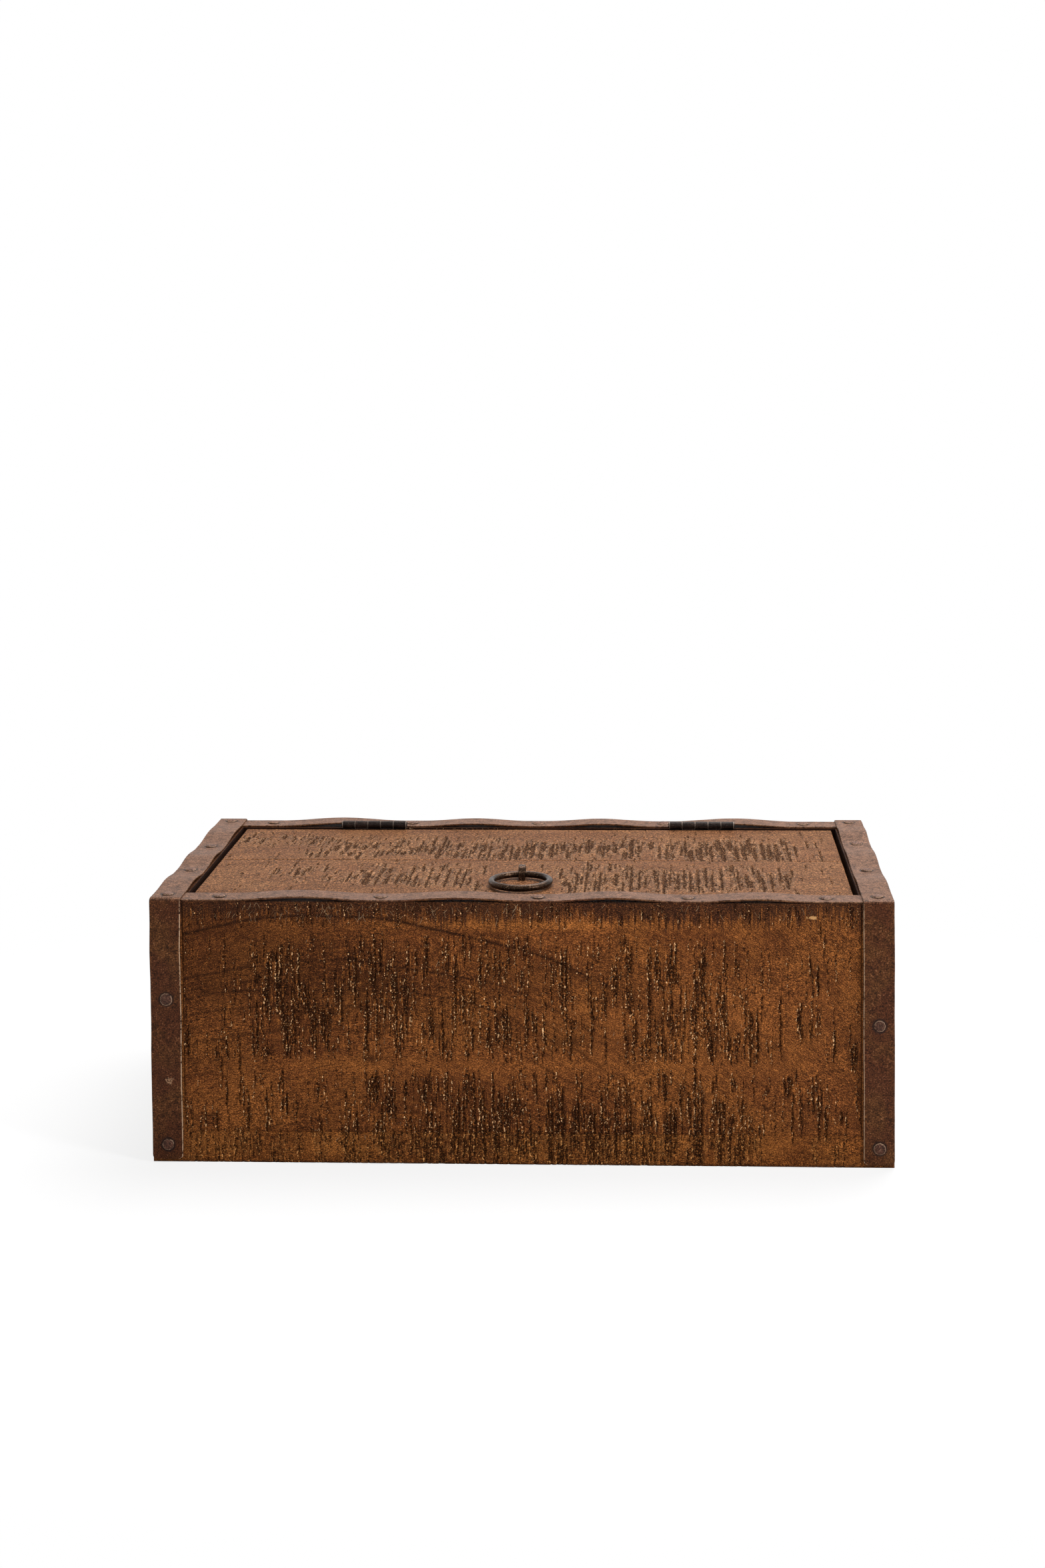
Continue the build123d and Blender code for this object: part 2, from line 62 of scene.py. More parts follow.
# ---------------------------------------------------------------- node graphs
class Field:
    """A socket of a node graph that takes arithmetic."""

    def __init__(self, graph, socket):
        self.graph, self.socket = graph, socket

    def math(self, operation, other=0.0, swapped=False):
        pair = (other, self) if swapped else (self, other)
        return self.graph.node("ShaderNodeMath", {"operation": operation}, dict(enumerate(pair)))

    def __add__(self, other):
        return self.math("ADD", other)

    def __sub__(self, other):
        return self.math("SUBTRACT", other)

    def __rsub__(self, other):
        return self.math("SUBTRACT", other, swapped=True)

    def __mul__(self, other):
        return self.math("MULTIPLY", other)

    def __truediv__(self, other):
        return self.math("DIVIDE", other)

    def __pow__(self, other):
        return self.math("POWER", other)

    __radd__ = __add__
    __rmul__ = __mul__

    def scaled(self, factor):
        """A colour or vector times a number."""
        return self.graph.node("ShaderNodeVectorMath", {"operation": "SCALE"}, {0: self, "Scale": factor})

    def sized(self):
        """The number without its sign."""
        return self.math("ABSOLUTE")

    def most(self, other):
        return self.math("MAXIMUM", other)

    def swing(self, reach=1.0):
        """A noise turned into a swing about 0, by up to half of reach either way."""
        return (self - 0.5) * reach

    def rise(self, low, high):
        """0 below low, 1 above high, and smooth between. It falls where low is above high."""
        values = {"Value": self, "From Min": low, "From Max": high}
        return self.graph.node("ShaderNodeMapRange", {"interpolation_type": "SMOOTHSTEP"}, values)


class Graph:
    """Adds nodes to a material or to a geometry tree."""

    def __init__(self, tree):
        self.tree = tree
        tree.nodes.clear()

    def node(self, kind, settings=None, values=None, output=0):
        """A new node with its settings and its inputs' values or links, as the field of one output."""
        made = self.tree.nodes.new(kind)
        for name, value in (settings or {}).items():
            setattr(made, name, value)
        for name, value in (values or {}).items():
            if isinstance(value, Field):
                self.tree.links.new(value.socket, made.inputs[name])
            else:
                made.inputs[name].default_value = value
        return Field(self, made.outputs[output]) if made.outputs else made

    def vector(self, x, y, z):
        return self.node("ShaderNodeCombineXYZ", values={0: x, 1: y, 2: z})

    def vector_math(self, operation, a, b=(0, 0, 0), output=0):
        return self.node("ShaderNodeVectorMath", {"operation": operation}, {0: a, 1: b}, output)

    def parts(self, vector):
        made = self.node("ShaderNodeSeparateXYZ", values={0: vector}).socket.node
        return [Field(self, made.outputs[n]) for n in range(3)]

    def noise(self, vector, detail=2.0, roughness=0.5):
        values = {"Vector": vector, "Scale": 1.0, "Detail": detail, "Roughness": roughness}
        return self.node("ShaderNodeTexNoise", values=values)

    def mix(self, factor, a, b):
        """Two colours, mixed."""
        colors = {0: factor, 6: a, 7: b}
        for key in (6, 7):
            if isinstance(colors[key], tuple):
                colors[key] = (*colors[key], 1)
        return self.node("ShaderNodeMix", {"data_type": "RGBA"}, colors, output=2)


class Finish(Graph):
    """A material being made, with its coordinates in millimetres."""

    def __init__(self, name):
        self.material = bpy.data.materials.new(name)
        self.material.use_nodes = True
        super().__init__(self.material.node_tree)
        place = self.node("ShaderNodeTexCoord", output="Object")
        self.place = self.vector_math("MULTIPLY", place, (1 / MM, 1 / MM, 1 / MM))
        self.xyz = self.parts(self.place)

    def attribute(self, name):
        return self.node("ShaderNodeAttribute", {"attribute_name": name}, output=2)

    def distance(self, place):
        """How far the surface is from a place, in millimetres."""
        return self.vector_math("DISTANCE", self.place, place, output="Value")

    def grain(self, lengths, detail=2.0, roughness=0.5, shift=0.0):
        """Noise whose features are this many millimetres along X, Y and Z."""
        stretched = self.vector_math("DIVIDE", self.place, lengths)
        moved = self.vector_math("ADD", stretched, (shift, shift, shift))
        return self.noise(moved, detail, roughness)

    def close(self, color, roughness, height, relief, metallic=0.0, specular=0.5):
        """Ends the material. height is a field from 0 to 1, which the relief in millimetres scales."""
        bump_values = {"Strength": 1.0, "Distance": relief * MM, "Height": height}
        bump = self.node("ShaderNodeBump", values=bump_values)
        values = {
            "Base Color": color,
            "Roughness": roughness,
            "Metallic": metallic,
            "Specular IOR Level": specular,
            "Normal": bump,
        }
        shader = self.node("ShaderNodeBsdfPrincipled", values=values)
        self.node("ShaderNodeOutputMaterial", values={0: shader})
        return self.material


# ---------------------------------------------------------------- finishes
rim_band_tone = (0.024, 0.009, 0.005)  # a darker band where the boards meet the straps
chip_tone = (0.52, 0.28, 0.11)
# Painted shade on the boards' inner faces, for the dark gap under the lid.
painted_gap_shade = (0.010, 0.005, 0.004)
# Painted shadow round the nails.
painted_nail_shadow = (0.012, 0.006, 0.005)
rubbed_rust = (0.36, 0.20, 0.11)
# Painted highlight on the hinges' knuckle seams.
painted_seam_highlight = (0.34, 0.27, 0.22)
# Bare iron on the straps' cut edges, and a painted highlight on the nails' rims.
bare_edge_and_highlight = (0.42, 0.28, 0.18)
gap_shade_heights = (138, 148)  # painted shade on the boards' inner faces starts between these
seam_heights = (163.8, 164.1)  # a hinge's painted seam highlights start between these, over its leaves
nail_shadow_reach = (5.6, 4.0)  # distances from a nail's middle at which its painted shadow starts and is full


def shade(color, factor):
    return tuple(channel * factor for channel in color)


def wood(
    name, grain_axis, across_axis, deep, plain, light, heart=0.0, bend=0.0, lines=(), knots=(), glows=(),
    rim=None, specular=0.04, pit=0.15, specks=(0.8, 0.45), contrast=2.8, pore=0.75, chips=(),
    fibre_highlight=(0.92, 0.54, 0.26), glinting=0.9, halo=0.0, smoke=0.2, mottling=0.5, inside=None, shift=0.0,
):
    """Rough-sawn waxed wood. Growth rings bow across the board about the heart's place along the grain.

    lines are dark rings: (height of the bow, half width, strength). knots are swirls: (along, across,
    length, width, push). glows lighten or darken a place: (along, across, length, width, gain). rim is
    the height above which the board is darker. specks is the size of the finest grain, along the
    board and across it, and contrast its strength; mottling is the strength of the coarser one. chips
    are pale splinters: (along, across, length, width). splinter is the colour of the painted highlights
    on torn fibres, glinting how strongly they show. Between crowded gouges halo lightens the wood in
    that colour and smoke darkens it. inside is how far out the board's inner face is, which has
    painted shade near the rim, for the dark gap under the lid."""
    finish = Finish(name)
    along, across = finish.xyz[grain_axis], finish.xyz[across_axis]
    depth = finish.xyz[X + Y + Z - grain_axis - across_axis]
    through = depth * 0.02 + shift
    off_heart = along - heart
    warp = finish.noise(finish.vector(along * 0.009 + shift, across * 0.03, through), 2.0)
    rings = across + off_heart * off_heart * bend + warp.swing(14)

    def near(place, lengths):
        reach = ((along - place[0]) / lengths[0]) ** 2 + ((across - place[1]) / lengths[1]) ** 2
        return (reach * -1).math("EXPONENT")

    def sawn(along_length, across_length, more, detail=1.0, roughness=0.6):
        """Noise with features this long along the grain and across it, in millimetres."""
        lengths = [min(along_length, across_length)] * 3
        lengths[grain_axis], lengths[across_axis] = along_length, across_length
        return finish.grain(tuple(lengths), detail, roughness, shift + more)

    eyes = None
    for k_along, k_across, k_length, k_width, push in knots:
        place = (k_along, k_across)
        rings = rings + near(place, (k_length, k_width)) * (across - k_across).math("SIGN") * push
        eye = near(place, (k_length / 6, k_width / 4))
        eyes = eye if eyes is None else eyes.most(eye)
    bands = finish.noise(finish.vector(along * 0.006, rings * 0.06, through), 3.0, 0.55)
    streaks = finish.noise(finish.vector(along * 0.02, rings * 0.5, through + 4), 3.0, 0.6)
    pores = finish.noise(finish.vector(along * 0.35, rings * 2.3, through + 15), 1.0)
    zones = finish.grain((45, 45, 45), 2.0, 0.5, shift + 27)
    saw_lines = sawn(1.0, 17, 7)
    hair_lines = sawn(0.7, 9, 41)
    beads = sawn(1.0, 1.5, 19)
    drops = sawn(0.75, 1.15, 31)
    patches = sawn(26, 13, 53, 2.0)
    mottle = sawn(3.4, 2.6, 11, 3.0, 0.7)
    grit = sawn(*specks, 2, 1.0, 0.65)
    gouge, fleck, rough = (finish.attribute(label) for label in ("gouge", "fleck", "rough"))

    tone = finish.mix(bands.rise(0.3, 0.7), deep, plain)
    tone = finish.mix(zones.rise(0.45, 0.65) * 0.4, tone, light)
    tone = finish.mix(patches.rise(0.5, 0.3) * 0.6, tone, deep)
    tone = finish.mix(streaks.rise(0.5, 0.8) * 0.4, tone, light)
    tone = finish.mix(mottle.rise(0.5, 0.75) * 0.4, tone, light)
    tone = finish.mix(mottle.rise(0.5, 0.25) * 0.5, tone, shade(deep, 0.5))
    for g_along, g_across, g_length, g_width, gain in glows:
        target = shade(light, 1.2) if gain > 0 else shade(deep, 0.35)
        tone = finish.mix(near((g_along, g_across), (g_length, g_width)) * abs(gain), tone, target)
    dark = pores.rise(0.54, 0.66) * zones.rise(0.35, 0.5) * pore
    dark = dark.most((saw_lines + rough * 0.04).rise(0.6, 0.68) * (rough * 0.5 + 0.12))
    dark = dark.most((hair_lines + rough * 0.05).rise(0.6, 0.66) * (rough * 0.7 + 0.1))
    for height, half_width, strength in lines:
        ring = (rings - height).sized().rise(half_width, 0.0)
        dark = dark.most(ring * streaks.rise(0.1, 0.5) * (off_heart.sized().rise(260, 130) * strength))
    if eyes is not None:
        dark = dark.most(eyes * 0.8)
    tone = finish.mix(dark, tone, shade(deep, 0.25))
    tone = finish.mix(hair_lines.rise(0.4, 0.33) * (rough * 0.6 + 0.1), tone, shade(light, 1.3))
    if rim is not None:
        fringe = across + warp.swing(14) + saw_lines.swing(34) + mottle.swing(12)
        tone = finish.mix(fringe.rise(rim - 4, rim + 5) * 0.8, tone, rim_band_tone)
    ragged = saw_lines.swing(0.9) + beads.swing(3.8)
    gouged = gouge + ragged * gouge.rise(0.0, 0.25)
    torn, core = gouged.rise(0.45, 0.7), gouged.rise(0.65, 0.95)
    tufts = (mottle + beads.swing()).rise(0.45, 0.6)
    # Between crowded gouges, halo lightens the wood in the painted highlights' colour and smoke darkens it.
    tone = finish.mix(rough.rise(0.15, 0.6) * tufts * halo, tone, fibre_highlight)
    tone = finish.mix(rough.rise(0.25, 0.9) * smoke, tone, shade(deep, 0.5))
    tone = finish.mix(torn * 0.5, tone, shade(deep, pit * 2))
    tone = finish.mix(core * 0.8, tone, shade(deep, pit * 0.8))
    tone = tone.scaled((grit * 2) ** contrast * (mottle * 2) ** mottling)
    # Painted highlights: fine bright specks over the whole face.
    tone = finish.mix((grit + mottle.swing(0.3)).rise(0.65, 0.75) * 0.45, tone, shade(light, 1.7))
    # Painted glints on the torn fibres beside the gouges, in beads.
    flank = gouge.rise(0.05, 0.3)
    glint = (fleck * 0.6 + flank * 0.1 + rough * 0.08 + drops.swing(2.6)).rise(0.72, 0.86)
    glint = glint * (1 - core * 0.5)
    tone = finish.mix(glint * glinting, tone, fibre_highlight)
    for c_along, c_across, c_length, c_width in chips:
        chip = near((c_along, c_across), (c_length, c_width)) + beads.swing(1.2) + saw_lines.swing()
        tone = finish.mix(chip.rise(0.45, 0.8) * 0.8, tone, chip_tone)
    # Painted shade on the inner face near the rim, where the gap under the lid is dark.
    if inside is not None:
        gap_shade = depth.sized().rise(inside + 0.5, inside + 0.1) * across.rise(*gap_shade_heights)
        tone = finish.mix(gap_shade * 0.85, tone, painted_gap_shade)
    roughness = mottle * 0.2 + 0.42 + torn * 0.3
    height = grit * 0.3 + mottle * 0.5 - dark * 0.5 - torn * 0.9 + glint * 0.6
    return finish.close(tone, roughness, height, relief=0.4, specular=specular)


def iron(
    name, base, patch, top, pale, roughness=0.45, metallic=0.0, scuffs=0.3, specular=0.1,
    nailed=(), worn=(), seams=(), shift=0.0,
):
    """Hand-worked iron under an old, speckled patina of the tones base and patch. top is a painted sheen,
    a lighter tone where it faces up and catches the light. pale shows in scuffs. The attribute edge marks
    raw cut edges, and on the nails a painted highlight round the head's rim. Shade is painted round the
    places in nailed, as the nails' contact shadows, and the patina is rubbed off at the places in worn:
    (place, reach). seams are the places along X, on either side of the middle, where a highlight is
    painted on the hinge's knuckle seams."""
    finish = Finish(name)
    clouds = finish.grain((24, 24, 24), 3.0, 0.6, shift)
    blotch = finish.grain((4.0, 4.0, 4.0), 3.0, 0.65, shift + 5)
    grit = finish.grain((0.9, 0.9, 0.9), 1.0, 0.7, shift + 11)
    facing = finish.parts(finish.node("ShaderNodeTexCoord", output="Normal"))[Z]
    tone = finish.mix(clouds.rise(0.4, 0.65), base, patch)
    # Painted sheen: faces that look up take the lighter tone top, for the light that they catch from above.
    tone = finish.mix(facing.rise(0.4, 0.95), tone, top)
    tone = finish.mix(blotch.rise(0.52, 0.36) * 0.35, tone, shade(base, 0.45))
    tone = tone.scaled((grit * 2) ** 1.9 * (blotch * 2) ** 0.5)
    tone = finish.mix((grit + blotch.swing(0.5)).rise(0.66, 0.78) * scuffs, tone, pale)
    for place, reach in worn:
        rubbed = (finish.distance(place) + blotch.swing(9)).rise(reach, reach * 0.5)
        tone = finish.mix(rubbed * grit.rise(0.35, 0.6) * 0.7, tone, rubbed_rust)
    # Painted highlights on the hinges' knuckle seams.
    for seam in seams:
        from_seam = (finish.xyz[X].sized() - seam).sized()
        bright = from_seam.rise(0.36, 0.14) * finish.xyz[Z].rise(*seam_heights)
        tone = finish.mix(bright * 0.6, tone, painted_seam_highlight)
    # Painted contact shadow round each nail.
    contact_shade = None
    for place in nailed:
        ring = finish.distance(place).rise(*nail_shadow_reach)
        contact_shade = ring if contact_shade is None else contact_shade.most(ring)
    if contact_shade is not None:
        tone = finish.mix(contact_shade * 0.8, tone, painted_nail_shadow)
    # Bare iron on the straps' cut edges; on the nails, a painted highlight round the rim.
    edge = finish.attribute("edge")
    tone = finish.mix(edge * (blotch + grit * 0.6).rise(0.62, 0.8), tone, bare_edge_and_highlight)
    height = grit * 0.6 + blotch * 0.8
    rough = clouds * 0.2 + (roughness - 0.1)
    return finish.close(tone, rough, height, relief=0.2, metallic=metallic, specular=specular)


warm_front = wood(
    "rough_sawn_front", X, Z,
    deep=(0.074, 0.022, 0.0065), plain=(0.136, 0.043, 0.0115), light=(0.244, 0.085, 0.0195),
    heart=-120, bend=0.0014,
    lines=(
        (153.5, 2.2, 0.95), (126.5, 1.6, 0.75), (118, 1.3, 0.6), (111.5, 1.6, 0.75), (100.5, 1.7, 0.7),
        (86, 1.6, 0.6),
    ),
    knots=((-93.7, 66, 38, 12, 9), (30, 78, 60, 16, 6)),
    glows=(
        (100, 88, 110, 40, 0.25), (-130, 122, 90, 30, -0.5), (10, 150.5, 92, 3, 0.6),
        (0, 62, 170, 6, 0.15), (-110, 63, 32, 4, 0.3), (-190, 120, 40, 40, -0.3),
        (-215, 100, 10, 60, -0.6), (212, 60, 10, 50, -0.5), (-20, 118, 120, 16, -0.2),
    ),
    rim=154, inside=95, chips=((179.7, 155.5, 4.2, 1.3),),
)
warm_back = wood(
    "rough_sawn_back", X, Z,
    deep=(0.085, 0.027, 0.008), plain=(0.142, 0.049, 0.014), light=(0.235, 0.088, 0.022),
    heart=70, bend=0.0009, lines=((120, 1.4, 0.6), (60, 1.0, 0.4)), knots=((95, 60, 30, 10, 8),),
    glows=((-80, 80, 90, 35, 0.2), (140, 120, 60, 30, -0.4)), rim=154, inside=95, shift=31,
)
side_wood = wood(
    "rough_sawn_side", Y, Z,
    deep=(0.085, 0.027, 0.008), plain=(0.144, 0.050, 0.014), light=(0.238, 0.089, 0.022),
    heart=20, bend=0.0016, lines=((130, 1.2, 0.5),), knots=((-30, 70, 25, 10, 7),),
    glows=((30, 60, 50, 30, 0.2), (-70, 110, 40, 30, -0.4)), rim=154, inside=210, shift=57,
)
base_wood = wood(
    "rough_sawn_base", X, Z,
    deep=(0.083, 0.025, 0.0065), plain=(0.145, 0.047, 0.011), light=(0.244, 0.087, 0.019),
    glows=(
        (-118, 12, 16, 7, 0.5), (-190, 11, 18, 7, 0.4), (73, 13, 14, 6, 0.45), (148, 12, 14, 7, 0.45),
        # The last glow is a painted shadow along the bottom edge.
        (0, 0, 400, 1.6, -0.8),
    ),
    fibre_highlight=(0.74, 0.35, 0.115), glinting=0.9, halo=0.08, smoke=0.15, shift=83,
)
lid_wood = wood(
    "rough_sawn_lid", X, Y,
    deep=(0.115, 0.047, 0.021), plain=(0.168, 0.074, 0.033), light=(0.240, 0.113, 0.050),
    heart=40, bend=0.0008, specular=0.03, pit=0.3, fibre_highlight=(0.66, 0.43, 0.26), specks=(1.1, 1.3),
    contrast=2.2, pore=0.5, mottling=0.55, glinting=0.4, halo=0.13, smoke=0.0, shift=113,
)
inner_wood = wood(
    "sawn_inner_wood", Y, X,
    deep=(0.17, 0.09, 0.045), plain=(0.26, 0.15, 0.075), light=(0.34, 0.21, 0.11), shift=140,
)
nail_iron = iron(
    "nail_iron",
    base=(0.064, 0.026, 0.016), patch=(0.050, 0.022, 0.014), top=(0.130, 0.066, 0.044),
    pale=(0.34, 0.24, 0.17), scuffs=0.25, shift=21,
)
hinge_iron = iron(
    "hinge_iron",
    base=(0.012, 0.008, 0.007), patch=(0.022, 0.013, 0.010), top=(0.018, 0.012, 0.010),
    pale=(0.14, 0.09, 0.06), roughness=0.42, metallic=0.3, scuffs=0.2,
    seams=(93.4, 102.35, 111.45, 120.55, 129.65, 138.6), shift=37,
)
pull_iron = iron(
    "pull_iron",
    base=(0.022, 0.012, 0.007), patch=(0.048, 0.026, 0.015), top=(0.046, 0.026, 0.016),
    pale=(0.50, 0.34, 0.22), roughness=0.34, metallic=0.8, scuffs=0.26, shift=49,
)


# ---------------------------------------------------------------- pieces
def add_object(name, data, material=None):
    made = bpy.data.objects.new(name, data)
    bpy.context.scene.collection.objects.link(made)
    if material is not None:
        made.data.materials.clear()
        made.data.materials.append(material)
    return made


def piece(name, mesh, body, nodes, material=None):
    """A finished piece that rides on a body, stands for CAD nodes and takes its finish from a slot."""
    made = add_object(name, mesh, material)
    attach(made, body)
    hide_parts(*nodes)


def new_mesh(name, points, faces, smooth=True, attributes=None):
    mesh = bpy.data.meshes.new(name)
    mesh.from_pydata([tuple(p) for p in points], [], faces)
    mesh.polygons.foreach_set("use_smooth", [smooth] * len(mesh.polygons))
    for label, values in (attributes or {}).items():
        layer = mesh.attributes.new(label, "FLOAT", "POINT")
        layer.data.foreach_set("value", np.asarray(values, np.float32))
    mesh.update()
    return mesh


# ---------------------------------------------------------------- rough-sawn faces
def blended(values, i, j, a, b):
    """A grid's values at cell i, j, blended with the next cells' by the shares a and b."""
    near = values[i, j] * (1 - a) + values[i + 1, j] * a
    far = values[i, j + 1] * (1 - a) + values[i + 1, j + 1] * a
    return near * (1 - b) + far * b


def lattice_noise(rng, shape, cells):
    """Smooth noise from 0 to 1 on a grid, with features of cells[0] by cells[1] grid steps."""
    counts = [int(n / c) + 3 for n, c in zip(shape, cells)]
    values = rng.random(counts)
    steps = [np.arange(n) / c for n, c in zip(shape, cells)]
    low = [s.astype(int) for s in steps]
    part = [s - i for s, i in zip(steps, low)]
    part = [p * p * (3 - 2 * p) for p in part]
    return blended(values, *np.meshgrid(*low, indexing="ij"), *np.meshgrid(*part, indexing="ij"))


def softened(layer, reach):
    """A layer blurred by this many grid steps."""
    for axis, steps in enumerate(reach):
        weights = np.hanning(2 * steps + 3)[1:-1]
        weights /= weights.sum()
        layer = np.apply_along_axis(np.convolve, axis, layer, weights, "same")
    return layer


class SawnFace:
    """Saw gouges on a face, on a fine grid. u runs along the board and v across it, in millimetres."""

    cell = 0.4
    tooth = 1.3  # the length over which a gouge's width changes
    sway, stray = 2.6, 0.36  # the length over which a gouge strays sideways, and how far
    narrowest = 0.26  # half the width of the thinnest gouge
    crowd = (14, 14)  # grid steps over which crowding is measured

    def __init__(self, u_range, v_range, seed):
        self.rng = np.random.default_rng(seed)
        self.u0, self.v0 = u_range[0], v_range[0]
        self.shape = [int(round((high - low) / self.cell)) + 2 for low, high in (u_range, v_range)]
        self.depth = np.zeros(self.shape)
        self.gouge = np.zeros(self.shape)
        self.fleck = np.zeros(self.shape)

    def window(self, u, v, half_u, half_v):
        """The part of the grid round a point, and its cells' places."""
        i0 = max(int((u - half_u - self.u0) / self.cell), 0)
        i1 = min(int((u + half_u - self.u0) / self.cell) + 2, self.shape[0])
        j0 = max(int((v - half_v - self.v0) / self.cell), 0)
        j1 = min(int((v + half_v - self.v0) / self.cell) + 2, self.shape[1])
        us = self.u0 + np.arange(i0, max(i1, i0)) * self.cell
        vs = self.v0 + np.arange(j0, max(j1, j0)) * self.cell
        return (slice(i0, i1), slice(j0, j1)), us, vs

    def cut(self, area, dark, depth):
        """Cuts into a part of the grid, where it isn't darker or deeper already."""
        self.gouge[area] = np.maximum(self.gouge[area], dark)
        self.depth[area] = np.maximum(self.depth[area], depth)

    def stroke(self, u, top, bottom, width, depth, dark, shine):
        """One ragged gouge across the grain, with a painted highlight on the torn fibres along one side of
        it.
        """
        area, us, vs = self.window(u, (top + bottom) / 2, width + 1.5, abs(top - bottom) / 2)
        if len(us) < 1 or len(vs) < 2:
            return
        t = np.clip((vs - bottom) / (top - bottom), 0, 1)
        taper = np.sin(np.pi * (0.06 + 0.88 * t)) ** 0.55
        ragged = np.interp(vs, vs[0] + np.arange(60) * self.tooth, self.rng.random(60))
        wander = np.interp(vs, vs[0] + np.arange(30) * self.sway, self.rng.normal(0, self.stray, 30))
        half = np.maximum(width / 2 * taper * (0.3 + 0.95 * ragged), self.narrowest)
        aside = us[:, None] - u - wander[None, :]
        body = np.clip(1.6 - np.abs(aside / half[None, :]), 0, 1)
        self.cut(area, body * dark, depth * body**0.7)
        # A painted highlight along one flank of the gouge.
        if self.rng.random() < shine:
            side = 1 if self.rng.random() < 0.35 else -1
            rim = np.abs(aside - side * (half[None, :] + 0.25))
            lit = np.clip(1.2 - rim / 0.32, 0, 1) * (ragged[None, :] > 0.55)
            self.fleck[area] = np.maximum(self.fleck[area], lit * self.rng.uniform(0.5, 1.0))
            self.depth[area] -= 0.12 * lit

    def tear(self, u, top, bottom, width, depth):
        """A gouge as a bundle of thin strokes, each over its own part of the length."""
        count = max(1, round(width / 1.9))
        length = top - bottom
        for n in range(count):
            place = u + ((n + 0.5) / count - 0.5) * width * 1.1 + self.rng.normal(0, 0.2)
            shortened = length * (n != count // 2)
            start = top - shortened * self.rng.uniform(0, 0.35)
            end = bottom + shortened * self.rng.uniform(0, 0.35)
            self.stroke(place, start, end, min(width, 1.7), depth, self.rng.uniform(0.85, 1.15), 0.8)

    def scatter(self, region, per_area, length, width, depth, dark, shine):
        """Random gouges in a region (u0, u1, v0, v1), per_area of them in a square of 10 mm. length and
        width are ranges."""
        u0, u1, v0, v1 = region
        for _ in range(int(per_area * (u1 - u0) * (v1 - v0) / 100)):
            u, v = self.rng.uniform(u0, u1), self.rng.uniform(v0, v1)
            reach = self.rng.uniform(*length) / 2
            top, bottom = min(v + reach, v1 + 2), max(v - reach, v0 - 2)
            size = self.rng.uniform(0.5, 1.2)
            wide = self.rng.uniform(*width)
            self.stroke(u, top, bottom, wide, depth * size, dark * (size * 0.5 + 0.45), shine)

    def blotch(self, u, v, half_u, half_v, depth, dark):
        """A torn patch with a ragged outline, this far from its middle along u and v."""
        area, us, vs = self.window(u, v, half_u * 1.4, half_v * 1.4)
        reach = np.hypot((us[:, None] - u) / half_u, (vs[None, :] - v) / half_v)
        rough = lattice_noise(self.rng, reach.shape, (3, 8)) * 1.5
        body = np.clip(1.75 - reach - rough, 0, 1)
        self.cut(area, body * dark, depth * body)

    def finish(self, comb=0.12, wave=0.25):
        """Adds the saw's fine comb and the board's slow unevenness, and marks where the gouges crowd."""
        self.rough = np.clip(softened(self.gouge, self.crowd) * 2.4, 0, 1)
        # Painted highlights on the gouges' left flanks, broken into beads.
        flank = np.clip(np.roll(self.gouge, -1, 0) - np.roll(self.gouge, 1, 0), 0, 1)
        beads = lattice_noise(self.rng, self.shape, (3, 4))
        self.fleck = np.maximum(self.fleck, flank * np.clip(beads * 3.4 - 1.0, 0.1, 1.25))
        fine = lattice_noise(self.rng, self.shape, (1.6, 30)) * 0.6
        fine += lattice_noise(self.rng, self.shape, (3.2, 55)) * 0.4
        slow = lattice_noise(self.rng, self.shape, (70, 40))
        self.depth = self.depth + comb * fine + wave * slow + 0.14

    def at(self, u, v, layer):
        """A layer's values at grids of places."""
        i = np.clip((u - self.u0) / self.cell, 0, self.shape[0] - 1.001)
        j = np.clip((v - self.v0) / self.cell, 0, self.shape[1] - 1.001)
        i0, j0 = i.astype(int), j.astype(int)
        return blended(layer, i0, j0, i - i0, j - j0)


board_crease = 60  # degrees between faces, from which an edge is sharp
# Which way u runs on a face that looks along sign * axis, so that its quads look outward.
u_directions = {(Y, -1): 1, (Y, 1): -1, (X, 1): 1, (X, -1): -1, (Z, 1): 1}


